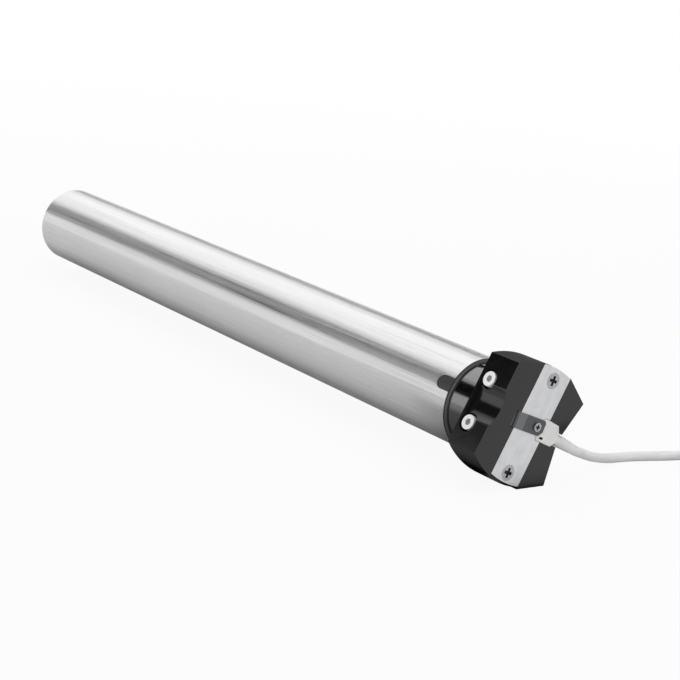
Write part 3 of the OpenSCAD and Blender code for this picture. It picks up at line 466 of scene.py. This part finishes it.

# %% [markdown]
# The limit ring is the glossy neck between tube and head. Only its outside shows, so only the
# edges of the outside and of its keyway are rounded, and its teeth inside stay as they are. A
# second short keyway is cut at the collar's side, where the drive of the roller can grip too.
# Its faces get a near-black finish, painted shade.

# %% Limit ring
RING_SKIN_R = 26.0 * MM
RING_EDGE = 0.15 * MM
SECOND_KEYWAY = ((0.5, 26.5, -1.5), (7.5, 29, 1.5))
SECOND_KEYWAY_TURN = math.radians(106.5)
KEYWAY_OPEN = 1.6 * MM

ring = merged_copy("limit_ring")
outside = [e for e in sharp_edges(ring) if all(v.co.yz.length > RING_SKIN_R for v in e.verts)]
round_off(ring, outside, RING_EDGE)
near_corner, far_corner = (Vector(corner) * MM for corner in SECOND_KEYWAY)
keyway = bmesh.new()
bmesh.ops.create_cube(keyway, size=1)
bmesh.ops.scale(keyway, vec=far_corner - near_corner, verts=keyway.verts)
bmesh.ops.translate(keyway, vec=(near_corner + far_corner) / 2, verts=keyway.verts)
into_ring = Matrix.Rotation(SECOND_KEYWAY_TURN, 4, "X")
bmesh.ops.transform(keyway, matrix=into_ring, verts=keyway.verts)
ring = carved(ring, keyway)
far_corner.y -= KEYWAY_OPEN
# The second keyway's faces get the near-black finish: painted shade.
for face in ring.faces:
    place = into_ring.inverted() @ face.calc_center_median()
    if all(a - WELD < c < b + WELD for a, c, b in zip(near_corner, place, far_corner)):
        face.material_index = 1
print("dark faces of the keyway:", sum(f.material_index for f in ring.faces))
dress(ring, "dressed_limit_ring", "crown", ["limit_ring"], ["recess_dark"])

# %% [markdown]
# The cable clamp is a bent strip of sheet steel, and it is made as the real one is: a line of
# six points is drawn out to a strip, its bends are rounded, its corners are clipped, and the
# strip gets its thickness. Along the bend its outer faces get a paler finish, a painted
# highlight. The strip is built in the clamp's own upright axes and then laid in place.

# %% Cable clamp
CLAMP_AXIS = Vector((0, 2.6, 1.6)) * MM
CLAMP_TURN = math.radians(6)
CLAMP_T = 1.5 * MM
CLAMP_W = 10.2 * MM
CLAMP_LINE = [(45.0, -16.27), (45.0, -15.5), (47.6, -14.6), (47.6, -9.6), (47.85, -8.0),
              (47.85, 9.3)]
CLAMP_CLIPS = (3.0, 1.5)
CLAMP_BENDS = {45.0: 0.6, 47.6: 0.8, 47.85: 0.6}
BEND_STEPS = 5
CLAMP_TIP_Y = 9 * MM
CLAMP_EDGE = 0.18 * MM
STRIP_ACROSS = 0.9 * CLAMP_W
HIGHLIGHT_X = 47.2
HIGHLIGHT_Y = (-14.3, -7.8)
HIGHLIGHT_FACING = 0.7
IN_CLAMP = (LIES @ Matrix.Translation(CLAMP_AXIS) @ Matrix.Rotation(CLAMP_TURN, 4, "X")
            @ Matrix.Translation((0, -CLAMP_AXIS.y, 0)))

strip = bmesh.new()
corners = [strip.verts.new((x * MM, y * MM, -CLAMP_W / 2)) for x, y in CLAMP_LINE]
drawn = bmesh.ops.extrude_edge_only(
    strip, edges=[strip.edges.new(pair) for pair in zip(corners, corners[1:])])
bmesh.ops.translate(strip, vec=(0, 0, CLAMP_W), verts=new_points(drawn))
tip = sorted((v for v in strip.verts if v.co.y > CLAMP_TIP_Y), key=lambda v: v.co.z)
for corner, clip in zip(tip, CLAMP_CLIPS):
    bmesh.ops.bevel(strip, geom=[corner], offset=clip * MM, offset_type="OFFSET", segments=1,
                    profile=0.5, affect="VERTICES", clamp_overlap=True, material=-1)
for height, bend in CLAMP_BENDS.items():
    round_off(strip, [e for e in strip.edges if len(e.link_faces) == 2
                      and abs(e.verts[0].co.z - e.verts[1].co.z) > STRIP_ACROSS
                      and abs(e.verts[0].co.x - height * MM) < WELD], bend * MM, BEND_STEPS)
bmesh.ops.recalc_face_normals(strip, faces=strip.faces)
bmesh.ops.solidify(strip, geom=strip.faces[:], thickness=CLAMP_T)
print("clamp from", [round(min(v.co[i] for v in strip.verts) / MM, 2) for i in range(3)],
      "to", [round(max(v.co[i] for v in strip.verts) / MM, 2) for i in range(3)],
      "volume in mm3:", round(strip.calc_volume(signed=True) / MM ** 3, 1))
round_off(strip, sharp_edges(strip), CLAMP_EDGE)
# Faces along the bend that face out get the paler finish: a painted highlight.
for face in strip.faces:
    centre = face.calc_center_median() / MM
    if (HIGHLIGHT_Y[0] < centre.y < HIGHLIGHT_Y[1] and centre.x > HIGHLIGHT_X
            and face.normal.x > HIGHLIGHT_FACING):
        face.material_index = 1
print("worn faces of the clamp:", sum(face.material_index for face in strip.faces))
bmesh.ops.transform(strip, matrix=IN_CLAMP, verts=strip.verts)
dress(strip, "bent_clamp", "motor", ["cable_clamp"], ["clamp_painted_highlight"])

# %% [markdown]
# The screws are turned and have a cross recess. The recess of such a screw lies in shade, so
# its faces get a second, near-black finish: painted shade.

# %% Screws
SCREW_EDGE = 0.12 * MM
UNDER_FRONT = 0.05 * MM
PAST_RECESS = 0.3 * MM
FACES_OUT = 0.9
FACES_ASIDE = 0.98
STRAP_RECESS = 1.5 * MM
CLAMP_RECESS = 0.75 * MM


def screws(node, name, matrix, depth):
    """Rounded screws in which a recess of that depth under the head's front gets painted shade."""
    upright = matrix.inverted()
    bm = merged_copy(node)
    front = max((upright @ v.co).x for v in bm.verts)
    round_off(bm, sharp_edges(bm), SCREW_EDGE)
    for face in bm.faces:
        heights = [(upright @ v.co).x for v in face.verts]
        facing = upright.to_3x3() @ face.normal
        if (max(heights) < front - UNDER_FRONT and min(heights) > front - depth - PAST_RECESS
                and (facing.x > FACES_OUT or facing.yz.length > FACES_ASIDE)):
            face.material_index = 1
    print(name, "dark faces:", sum(face.material_index for face in bm.faces))
    dress(bm, name, "motor", [node], ["recess_dark"])


screws("strap_screws", "countersunk_screws", LIES, STRAP_RECESS)
screws("clamp_screw", "clamp_cap_screw", IN_CLAMP, CLAMP_RECESS)

# %% [markdown]
# The two limit adjusters are small white cylinders with a hexagonal socket. They are drawn a
# little thinner than the model's, so that a dark gap shows between each and its hole. The
# inside of a socket lies in shade, so it gets a greyer white.

# %% Limit adjusters
KNOB_PLACE = {"upper_limit_knob": 14.2, "lower_limit_knob": -14.2}
KNOB_X = 29.5
KNOB_SLACK = 0.95
KNOB_EDGE = 0.25 * MM
SOCKET_R = 2.45 * MM
SOCKET_LIP = 0.1 * MM
SOCKET_DEPTH = 2.6 * MM

for node, height in KNOB_PLACE.items():
    to_knob = Matrix.Translation((-KNOB_X * MM, 0, -height * MM)) @ UPRIGHT
    knob = merged_copy(node)
    outer = min((UPRIGHT @ v.co).y for v in knob.verts)
    bmesh.ops.scale(knob, vec=(KNOB_SLACK, 1, KNOB_SLACK), verts=knob.verts, space=to_knob)
    round_off(knob, sharp_edges(knob), KNOB_EDGE)
    for face in knob.faces:
        middle = to_knob @ face.calc_center_median()
        if middle.xz.length < SOCKET_R and SOCKET_LIP < middle.y - outer < SOCKET_DEPTH:
            face.material_index = 1
    print(node, "shaded faces:", sum(face.material_index for face in knob.faces))
    dress(knob, "dressed_" + node, node.replace("limit_knob", "setting"), [node], ["socket_grey"])

# %% [markdown]
# At its far end the cable's sheath is stripped, and its four cores lie bare: blue, brown and
# black, and one in green and yellow for the earth. Each is a rod of plastic and a thinner rod
# of twisted wire, both rounded at their ends.

# %% Cores at the cable's end
CORE_R = 1.0 * MM
CORE_LEN = 26 * MM
CORE_BARE = 8 * MM
CORE_SKIN = 0.3 * MM
CORE_SPREAD = 1.3 * MM
CORE_EDGE = 0.2 * MM
CORE_SEGMENTS = 24
CORE_PLACES = {"core_blue": (-1, -1), "core_brown": (1, -1), "core_black": (-1, 1),
               "core_green": (1, 1)}
CORE_SLOTS = [*CORE_PLACES, "core_yellow"]
GREEN_SLOT = 1 + CORE_SLOTS.index("core_green")
YELLOW_SLOT = 1 + CORE_SLOTS.index("core_yellow")
STRIPE_FACING = 0.75


def rod(bm, start, end, radius, slot):
    """Adds a round rod along X, in that material slot."""
    made = bmesh.ops.create_cone(bm, cap_ends=True, segments=CORE_SEGMENTS, radius1=radius,
                                 radius2=radius, depth=end - start)["verts"]
    bmesh.ops.rotate(bm, matrix=Matrix.Rotation(math.pi / 2, 3, "Y"), verts=made)
    bmesh.ops.translate(bm, vec=((start + end) / 2, 0, 0), verts=made)
    for face in {f for v in made for f in v.link_faces}:
        face.material_index = slot


def earth_stripes(bm):
    """Turns two broad stripes along the green core yellow."""
    for face in bm.faces:
        if face.material_index == GREEN_SLOT and abs(face.normal.z) > STRIPE_FACING:
            face.material_index = YELLOW_SLOT


cores = bmesh.new()
for slot_number, (across, up) in enumerate(CORE_PLACES.values(), 1):
    core = bmesh.new()
    rod(core, 0, CORE_LEN - CORE_BARE, CORE_R, slot_number)
    rod(core, CORE_LEN - CORE_BARE, CORE_LEN, CORE_R - CORE_SKIN, 0)
    round_off(core, sharp_edges(core), CORE_EDGE)
    earth_stripes(core)
    bmesh.ops.translate(core, vec=(0, across * CORE_SPREAD, up * CORE_SPREAD), verts=core.verts)
    add_shape(cores, core)
tip_way = (Vector(TAIL_POINTS[-1]) - Vector(TAIL_POINTS[-2])).normalized()
bmesh.ops.transform(cores, verts=cores.verts,
                    matrix=Matrix.Translation(cable_tip)
                    @ Matrix.Rotation(math.atan2(tip_way.y, tip_way.x), 4, "Z"))
bare_cores = dress(cores, "stripped_cores", "motor", ["cable_cores"], CORE_SLOTS)

# %% [markdown]
# The stored coil is held by a woven tie with hooks and loops. It is a band round the section
# of the coil with rounded corners, and its free end, which is round, lies on top.

# %% Tie of the coil
FLOOR_Z = -38.9 * MM
TIE_T = 0.6 * MM
TIE_W = 10 * MM
TIE_ROOM = 0.3 * MM
TIE_TURN = math.radians(60)
TIE_IN = COIL_R - COIL_PITCH * (COIL_TURNS + CLIMB_TURN / 2) - CABLE_D / 2 - TIE_ROOM - TIE_T
TIE_OUT = COIL_R + CABLE_D / 2 + TIE_ROOM + TIE_T
TIE_HIGH = COIL_PITCH + CABLE_D + TIE_ROOM + 2 * TIE_T
TIE_CORNER = 3 * MM
TIE_CORNER_STEPS = 6
TIE_LAP = 16 * MM

band = bmesh.new()
corners = [band.verts.new((x, -TIE_W / 2, z)) for x, z in
           ((TIE_IN, 0), (TIE_OUT, 0), (TIE_OUT, TIE_HIGH), (TIE_IN, TIE_HIGH))]
drawn = bmesh.ops.extrude_edge_only(
    band, edges=[band.edges.new(pair) for pair in zip(corners, corners[1:] + corners[:1])])
bmesh.ops.translate(band, vec=(0, TIE_W, 0), verts=new_points(drawn))
round_off(band, [e for e in band.edges if len(e.link_faces) == 2], TIE_CORNER, TIE_CORNER_STEPS)
bmesh.ops.recalc_face_normals(band, faces=band.faces)
roof = max(band.faces, key=lambda f: f.calc_center_median().z)
if roof.normal.z < 0:
    bmesh.ops.reverse_faces(band, faces=band.faces)
bmesh.ops.solidify(band, geom=band.faces[:], thickness=TIE_T)
lap = thickened(tongue_sheet(TIE_W, TIE_LAP, 0), TIE_T)
bmesh.ops.translate(lap, vec=((TIE_IN + TIE_OUT) / 2 + TIE_LAP / 2, 0, TIE_HIGH), verts=lap.verts)
add_shape(band, lap)
print("tie from height", round(min(v.co.z for v in band.verts) / MM, 2),
      "to", round(max(v.co.z for v in band.verts) / MM, 2))
bmesh.ops.transform(band, verts=band.verts,
                    matrix=Matrix.Translation((COIL_CENTRE.x, COIL_CENTRE.y, FLOOR_Z))
                    @ Matrix.Rotation(TIE_TURN, 4, "Z"))
tie = dress(band, "woven_tie", "motor", ["coil_tie"])

# %% [markdown]
# Finishes are made of shader nodes, and the arithmetic between them reads best as Python
# arithmetic. This class wraps the output of a node: adding to it or multiplying it makes the
# Math node that does so. One method makes every other kind of node.

# %% Arithmetic for finishes
class Wire:
    """The output of a shader node."""

    def __init__(self, tree, socket=None):
        self.tree = tree
        self.socket = socket

    def add(self, kind, settings=None, sockets=None, output=0):
        """A node with its settings made first, then the values or links of its sockets.

        The wire returned starts at the output of that number or name.
        """
        node = self.tree.nodes.new(kind)
        for key, value in (settings or {}).items():
            setattr(node, key, value)
        for key, value in (sockets or {}).items():
            if isinstance(value, Wire):
                self.tree.links.new(value.socket, node.inputs[key])
            else:
                node.inputs[key].default_value = value
        return Wire(self.tree, node.outputs[output]) if len(node.outputs) else None

    def maths(self, operation, *values):
        """A Math node on numbers or wires."""
        return self.add("ShaderNodeMath", {"operation": operation}, dict(enumerate(values)))

    def __add__(self, other):
        return self.maths("ADD", self, other)

    def __sub__(self, other):
        return self.maths("SUBTRACT", self, other)

    def __rsub__(self, other):
        return self.maths("SUBTRACT", other, self)

    def __mul__(self, other):
        return self.maths("MULTIPLY", self, other)

    __radd__ = __add__
    __rmul__ = __mul__

    def at_most(self, limit):
        """This, but never more than the limit."""
        return self.maths("MINIMUM", self, limit)

    def between(self, low, high):
        """0 up to low, 1 from high on, and straight between them."""
        return self.add("ShaderNodeMapRange", None, {0: self, 1: low, 2: high})

    def blend(self, first, second):
        """The first colour where this is 0 and the second where it is 1."""
        return self.add("ShaderNodeMix", {"data_type": "RGBA"}, {0: self, 6: first, 7: second}, 2)


def new_finish(name):
    """A material with an empty tree, and a wire from which its nodes are made."""
    material = bpy.data.materials.new(name)
    material.use_nodes = True
    material.node_tree.nodes.clear()
    return material, Wire(material.node_tree)


def place_on(wire, stretch, turn=0.0, source="Object"):
    """Coordinates of the piece, turned about X and then multiplied along each axis."""
    at = wire.add("ShaderNodeTexCoord", None, None, source)
    laid = wire.add("ShaderNodeMapping", {"vector_type": "POINT"},
                    {"Vector": at, "Rotation": (math.radians(turn), 0, 0)})
    return wire.add("ShaderNodeMapping", {"vector_type": "POINT"},
                    {"Vector": laid, "Scale": stretch})


def noise(wire, stretch, turn=0.0, detail=2.0, source="Object"):
    """Noise from 0 to 1 whose features are as many to the metre as stretch says."""
    return wire.add("ShaderNodeTexNoise", None,
                    {"Vector": place_on(wire, stretch, turn, source), "Scale": 1.0,
                     "Detail": detail, "Roughness": 0.55})


def surface(wire, colour, roughness, height, depth, **plain):
    """Ends a finish in a Principled shader with a bump of that height and depth."""
    sockets = {"Base Color": colour, "Roughness": roughness}
    sockets.update({key.replace("_", " "): value for key, value in plain.items()})
    sockets["Normal"] = wire.add("ShaderNodeBump", None,
                                 {"Height": height, "Distance": depth, "Strength": 1.0})
    shader = wire.add("ShaderNodeBsdfPrincipled", None, sockets)
    wire.add("ShaderNodeOutputMaterial", None, {"Surface": shader})


def opaque(colour):
    """A colour of three numbers with the fourth that sockets want."""
    return (*colour, 1.0)


def grey(value):
    """A neutral colour."""
    return (value, value, value, 1.0)


print("arithmetic ready")

# %% [markdown]
# The tube is drawn steel, polished along its length. Its fine lengthwise lines are noise that
# is stretched thousands of times along the tube. Between polished lines lie dull ones, which
# spread the light far round the tube, so the roughness swings widely from line to line. The
# lines are finer than the picture can show, so the tube looks smooth and both are felt at once.

# %% Finish of the tube
POLISHED = 0.15
DULLER_LINES = 0.55

FINISHES = {}
FINISHES["bright_steel"], w = new_finish("bright_steel")
threads = noise(w, (2.0, 900.0, 900.0), detail=3.0)
patches = noise(w, (14.0, 30.0, 30.0))
lines = noise(w, (6.0, 24000.0, 24000.0), detail=1.0)
surface(w, (threads * 0.6 + patches * 0.4).between(0.3, 0.7).blend(grey(0.70), grey(0.73)),
        lines.between(0.42, 0.58) * DULLER_LINES + POLISHED, threads, 0.001 * MM, Metallic=1.0)
print("roughness of the tube from", POLISHED, "to", POLISHED + DULLER_LINES)

# %% [markdown]
# The metals of the head differ in colour, in gloss and in the way their marks run. One helper
# makes them all: stretched noise for the marks, a slower noise for stains, and a little bump.

# %% Metals
ROUGHNESS_SWING = 0.16


def metal(name, colour, stain, roughness, marks, turn=0.0, depth=0.004):
    """A bare or plated metal whose marks run along the axis with the smallest number."""
    FINISHES[name], wire = new_finish(name)
    scratches = noise(wire, marks, turn, 3.0)
    spots = noise(wire, (160.0, 160.0, 160.0))
    tone = (scratches * 0.5 + spots * 0.5).between(0.3, 0.7)
    surface(wire, tone.blend(opaque(colour), opaque(stain)),
            scratches * ROUGHNESS_SWING + (roughness - ROUGHNESS_SWING / 2),
            scratches, depth * MM, Metallic=1.0)


LIE_TURN = math.degrees(LIE_ANGLE)
metal("zinc_steel", (0.73, 0.735, 0.745), (0.60, 0.605, 0.625), 0.36, (900.0, 900.0, 60.0),
      LIE_TURN)
metal("screw_steel", (0.50, 0.50, 0.51), (0.34, 0.34, 0.35), 0.30, (700.0, 700.0, 700.0))
metal("shaft_steel", (0.62, 0.62, 0.64), (0.52, 0.52, 0.54), 0.22, (1500.0, 60.0, 60.0))
metal("bearing_steel", (0.56, 0.56, 0.58), (0.48, 0.48, 0.50), 0.14, (900.0, 60.0, 60.0))
metal("capacitor_metal", (0.74, 0.75, 0.77), (0.66, 0.67, 0.69), 0.30, (60.0, 700.0, 700.0))
metal("die_cast", (0.50, 0.51, 0.53), (0.40, 0.41, 0.43), 0.50, (420.0, 420.0, 420.0),
      depth=0.02)
metal("gear_steel", (0.36, 0.35, 0.32), (0.26, 0.25, 0.23), 0.42, (500.0, 500.0, 500.0),
      depth=0.01)
metal("brass", (0.74, 0.56, 0.26), (0.62, 0.45, 0.19), 0.26, (1500.0, 80.0, 80.0))
metal("bronze", (0.56, 0.38, 0.16), (0.42, 0.27, 0.11), 0.44, (600.0, 600.0, 600.0),
      depth=0.01)
metal("core_ends", (0.80, 0.46, 0.30), (0.62, 0.30, 0.17), 0.34, (90.0, 2600.0, 2600.0),
      depth=0.02)
metal("spring_black", (0.09, 0.09, 0.10), (0.05, 0.05, 0.06), 0.34, (900.0, 900.0, 900.0))
print("metals:", sorted(FINISHES))

# %% [markdown]
# Moulded plastic has a colour that hardly changes, and a fine texture from its mould that
# spreads the highlights. The same helper serves paint and rubber, which differ in gloss.

# %% Plastics, paint and rubber
CLOUD_SWING = 0.10
CLOUD_DARKER = 0.88


def plastic(name, colour, roughness, grain=1800.0, depth=0.02, **plain):
    """A moulded or painted surface with a fine even texture."""
    FINISHES[name], wire = new_finish(name)
    texture = noise(wire, (grain, grain, grain), 0.0, 3.0)
    cloud = noise(wire, (60.0, 60.0, 60.0))
    darker = [CLOUD_DARKER * part for part in colour]
    surface(wire, cloud.between(0.35, 0.65).blend(opaque(darker), opaque(colour)),
            cloud * CLOUD_SWING + (roughness - CLOUD_SWING / 2), texture, depth * MM, **plain)


plastic("black_plastic", (0.007, 0.007, 0.0075), 0.15, depth=0.01)
plastic("dull_black", (0.009, 0.009, 0.0095), 0.60, IOR=1.35)
plastic("gloss_black", (0.004, 0.004, 0.0045), 0.13, 500.0, 0.003, IOR=2.5)
plastic("dark_collar", (0.042, 0.043, 0.046), 0.38)
# The collar's paler face: painted light where the head shades it.
plastic("collar_painted_light", (0.22, 0.222, 0.228), 0.38)
plastic("clamp_steel", (0.072, 0.076, 0.084), 0.26, 700.0, 0.006, Metallic=0.8, Coat_Weight=0.5)
# A paler copy of the clamp's finish: a painted highlight along its bend.
plastic("clamp_painted_highlight", (0.165, 0.17, 0.178), 0.28, 700.0, 0.006, Metallic=0.8)
plastic("white_plastic", (0.90, 0.90, 0.89), 0.38, 900.0, 0.01)
plastic("knob_white", (0.92, 0.92, 0.92), 0.30, 900.0, 0.006)
plastic("socket_grey", (0.55, 0.55, 0.56), 0.40, 900.0, 0.006)
plastic("nylon", (0.80, 0.78, 0.70), 0.46, 900.0, 0.01)
plastic("switch_black", (0.028, 0.028, 0.030), 0.45)
plastic("button_red", (0.55, 0.04, 0.03), 0.34, 900.0, 0.006)
plastic("friction", (0.10, 0.072, 0.055), 0.80, 1200.0, 0.05)
plastic("cap_grey", (0.10, 0.105, 0.11), 0.48, 1100.0, 0.03)
# Near black: painted shade in recesses. The collar's rim gets it too.
plastic("recess_dark", (0.006, 0.006, 0.006), 0.60, 1200.0, 0.02)
plastic("core_blue", (0.03, 0.11, 0.42), 0.36, 1200.0, 0.01)
plastic("core_brown", (0.15, 0.06, 0.028), 0.36, 1200.0, 0.01)
plastic("core_black", (0.020, 0.020, 0.022), 0.36, 1200.0, 0.01)
plastic("core_green", (0.04, 0.30, 0.09), 0.36, 1200.0, 0.01)
plastic("core_yellow", (0.80, 0.62, 0.05), 0.36, 1200.0, 0.01)
print("finishes so far:", len(FINISHES))

# %% [markdown]
# Four finishes have a pattern of their own: the stator and rotor are stacks of thin iron
# sheets, the winding shows its wires, the tie is woven, and the wires of the harness lie
# twisted in their sleeve. The wave texture makes one band in every 0.314 of its space, so that
# length over the real pitch is its scale.

# %% Sheets, wires and weave
WAVE_LENGTH = 0.314
WAVE_HEIGHT_OUTPUT = 1
BAND_SWING = 0.2


def banded(name, colour, gap, pitch, across, roughness, depth, **plain):
    """Fine bands of that pitch in mm across an axis or the diagonal, darker in their gaps."""
    FINISHES[name], wire = new_finish(name)
    bands = wire.add("ShaderNodeTexWave", {"bands_direction": across},
                     {"Vector": place_on(wire, (1.0, 1.0, 1.0)),
                      "Scale": WAVE_LENGTH / (pitch * MM), "Distortion": 0.6, "Detail": 1.0},
                     WAVE_HEIGHT_OUTPUT)
    rough = noise(wire, (300.0, 300.0, 300.0))
    surface(wire, bands.between(0.05, 0.5).blend(opaque(gap), opaque(colour)),
            rough * BAND_SWING + (roughness - BAND_SWING / 2), bands, depth * MM, **plain)


banded("iron", (0.24, 0.25, 0.26), (0.10, 0.10, 0.11), 0.5, "X", 0.45, 0.05, Metallic=0.9)
banded("copper", (0.66, 0.28, 0.10), (0.22, 0.07, 0.03), 0.6, "Y", 0.30, 0.15, Metallic=0.8)
banded("wire_blue", (0.07, 0.15, 0.36), (0.03, 0.07, 0.18), 1.6, "DIAGONAL", 0.45, 0.2)
banded("tie_black", (0.035, 0.035, 0.038), (0.012, 0.012, 0.013), 0.8, "DIAGONAL", 0.85, 0.15)
print("finishes so far:", len(FINISHES))

# %% [markdown]
# The sheath is soft white plastic drawn over twisted cores. Its finish follows the map of the
# mesh: faint lines run along it, and a slow ripple shows where the cores press from inside.

# %% Finish of the cable
FINISHES["cable_white"], w = new_finish("cable_white")
lines = noise(w, (40.0, 9.0, 1.0), detail=1.0, source="UV")
dust = noise(w, (240.0, 240.0, 240.0))
surface(w, (lines * 0.6 + dust * 0.4).between(0.35, 0.65).blend(grey(0.78), grey(0.88)),
        dust * 0.1 + 0.34, lines, 0.05 * MM)
print("all finishes:", len(FINISHES))

# %% [markdown]
# Every node and every new piece now gets the finish that its record names. A node of the
# model keeps its mesh and only has its material changed. Clearing a mesh's materials also
# forgets which face has which one, so those numbers are kept and set again.

# %% Finishes onto the pieces
for name, node in frame["nodes"].items():
    for holder in node.material_slots:
        holder.material = FINISHES[SLOT_OF[name]]
for piece, slots in dressed.items():
    places = [face.material_index for face in piece.data.polygons]
    piece.data.materials.clear()
    for slot in slots:
        piece.data.materials.append(FINISHES[slot])
    piece.data.polygons.foreach_set("material_index", places)
print("without a finish:", [n for n, o in frame["nodes"].items() if not o.material_slots])

# %% [markdown]
# The floor is a plain white sheet at the height on which the motor lies. Where the camera
# looks at it, most of what it sees is the white itself, so that the soft shadow under the
# motor stays but the picture is white all round. Far from the motor it is white alone. In
# mirrors the floor in front of the head is white too, but it is darkened close under the tube
# and in a wedge on each side of the head, where a real head keeps the light off the paper. Each
# pair of numbers below says, in metres, where a change in the floor begins and ends.

# %% Floor
FLOOR_HALF = 9.0
PAPER_GREY = 0.70
PAPER_ROUGHNESS = 0.5
FLOOR_WHITE = 0.92
REFLECTED_WHITE = 0.15
FRONT_WHITE = 0.60
TUBE_SHADE = 0.55
HEAD_SHADE = 0.62
WHITE_ALONE = (0.7, 2.2)
HEAD_FRONT = (0.046, 0.07)
SHADE_FRONT = (0.044, 0.052)
TUBE_SIDES = (0.014, 0.036)
WEDGE_EDGE = (-0.015, 0.015)
WEDGE_SLANT = 1.1
WEDGE_REACH = (0.13, 0.26)
RAYS = ("Is Camera Ray", "Is Glossy Ray", "Is Transmission Ray")


def stage_sheet(name, size_x, size_y, material):
    """A flat sheet of the stage, one by one metre scaled to its size, round the origin."""
    bm = bmesh.new()
    bmesh.ops.create_grid(bm, x_segments=1, y_segments=1, size=0.5)
    bmesh.ops.scale(bm, vec=(size_x, size_y, 1.0), verts=bm.verts)
    sheet = link(name, as_mesh(bm, name))
    sheet.data.materials.append(material)
    return sheet


white_floor, w = new_finish("white_floor")
camera_ray, glossy_ray, clear_ray = (w.add("ShaderNodeLightPath", None, None, ray) for ray in RAYS)
at = w.add("ShaderNodeTexCoord", None, None, "Object")
away = w.add("ShaderNodeVectorMath", {"operation": "LENGTH"}, {0: at}, "Value")
along = w.add("ShaderNodeSeparateXYZ", None, {0: at}, "X")
aside = w.maths("ABSOLUTE", w.add("ShaderNodeSeparateXYZ", None, {0: at}, "Y"))
far = away.between(*WHITE_ALONE)
tube_shade = (1 - aside.between(*TUBE_SIDES)) * TUBE_SHADE
head_shade = ((along + aside * WEDGE_SLANT).between(*WEDGE_EDGE)
              * (1 - away.between(*WEDGE_REACH)) * HEAD_SHADE)
in_mirrors = glossy_ray + clear_ray
under = in_mirrors * (tube_shade + head_shade) * (1 - along.between(*SHADE_FRONT))
seen = camera_ray * (far * (1 - FLOOR_WHITE) + FLOOR_WHITE)
mirrored = in_mirrors * (far * (1 - REFLECTED_WHITE) + along.between(*HEAD_FRONT) * FRONT_WHITE
                         + REFLECTED_WHITE)
paper = w.add("ShaderNodeBsdfDiffuse", None,
              {"Color": grey(PAPER_GREY), "Roughness": PAPER_ROUGHNESS})
shine = w.add("ShaderNodeEmission", None, {"Color": grey(1.0), "Strength": 1.0})
shade = w.add("ShaderNodeBsdfDiffuse", None,
              {"Color": grey(0.0), "Roughness": PAPER_ROUGHNESS})
both = w.add("ShaderNodeMixShader", None, {0: (seen + mirrored).at_most(1.0), 1: paper, 2: shine})
w.add("ShaderNodeOutputMaterial", None,
      {"Surface": w.add("ShaderNodeMixShader", None, {0: under.at_most(1.0), 1: both, 2: shade})})
floor = stage_sheet("floor", 2 * FLOOR_HALF, 2 * FLOOR_HALF, white_floor)
floor.location = (0, 0, model_box[0][2])
print("floor height in mm:", round(floor.location.z / MM, 2))

# %% [markdown]
# A bright tube is a mirror: what one sees on it is the studio. A large softbox hangs over it
# and a narrower one stands beside the camera, both along the tube. A black flag between them
# draws the dark line under the main highlight, and a second one behind the tube draws the
# grey line at its upper edge. The flags only show in reflections. A softbox is given by its
# angle round the tube, its width and its strength, and a flag by its angle and width.

# %% Softboxes and flags
TUBE_LINE = Vector((-1.2, 0, 0))
SHEET_LEN = 4.0
SOFTBOX_AWAY = 1.2
FLAG_AWAY = 1.1
SOFTBOXES = {"softbox_above": (81, 1.44, 1.45), "softbox_beside": (171.5, 0.62, 1.25)}
FLAGS = {"flag_beside": (138, 0.69), "flag_behind": (21, 0.48)}


def stand_along(sheet, degrees, distance):
    """Turns a sheet towards the tube's axis, at that angle round it from +Y upwards."""
    angle = math.radians(degrees)
    out = Vector((0, math.cos(angle), math.sin(angle)))
    sheet.rotation_mode = "QUATERNION"
    sheet.rotation_quaternion = Matrix((Vector((-1, 0, 0)), out.cross(Vector((1, 0, 0))),
                                        -out)).transposed().to_quaternion()
    sheet.location = TUBE_LINE + out * distance
    sheet.visible_camera = False


for name, (degrees, width, strength) in SOFTBOXES.items():
    glow, w = new_finish(name)
    light = w.add("ShaderNodeEmission", None, {"Color": grey(1.0), "Strength": strength})
    w.add("ShaderNodeOutputMaterial", None, {"Surface": light})
    stand_along(stage_sheet(name, SHEET_LEN, width, glow), degrees, SOFTBOX_AWAY)

dull, w = new_finish("flag_black")
w.add("ShaderNodeOutputMaterial", None,
      {"Surface": w.add("ShaderNodeBsdfDiffuse", None, {"Color": grey(0.0)})})
for name, (degrees, width) in FLAGS.items():
    flag = stage_sheet(name, SHEET_LEN, width, dull)
    stand_along(flag, degrees, FLAG_AWAY)
    flag.visible_diffuse = flag.visible_shadow = flag.visible_transmission = False
print("along the tube stand:", [*SOFTBOXES, *FLAGS])

# %% [markdown]
# The surroundings are white for the camera and in reflections, and weaker as a lamp, so that
# the softboxes still model the shapes.

# %% Surroundings
WORLD_LAMP = 0.70

world = bpy.data.worlds.new("white_room")
bpy.context.scene.world = world
world.use_nodes = True
world.node_tree.nodes.clear()
w = Wire(world.node_tree)
camera_ray, glossy_ray, clear_ray = (w.add("ShaderNodeLightPath", None, None, ray) for ray in RAYS)
seen = (camera_ray + glossy_ray + clear_ray).at_most(1.0)
strength = seen * (1 - WORLD_LAMP) + WORLD_LAMP
w.add("ShaderNodeOutputWorld", None,
      {"Surface": w.add("ShaderNodeBackground", None, {"Color": grey(1.0), "Strength": strength})})
bpy.context.scene.view_settings.view_transform = "Standard"
print("strength of the surroundings as a lamp:", WORLD_LAMP)
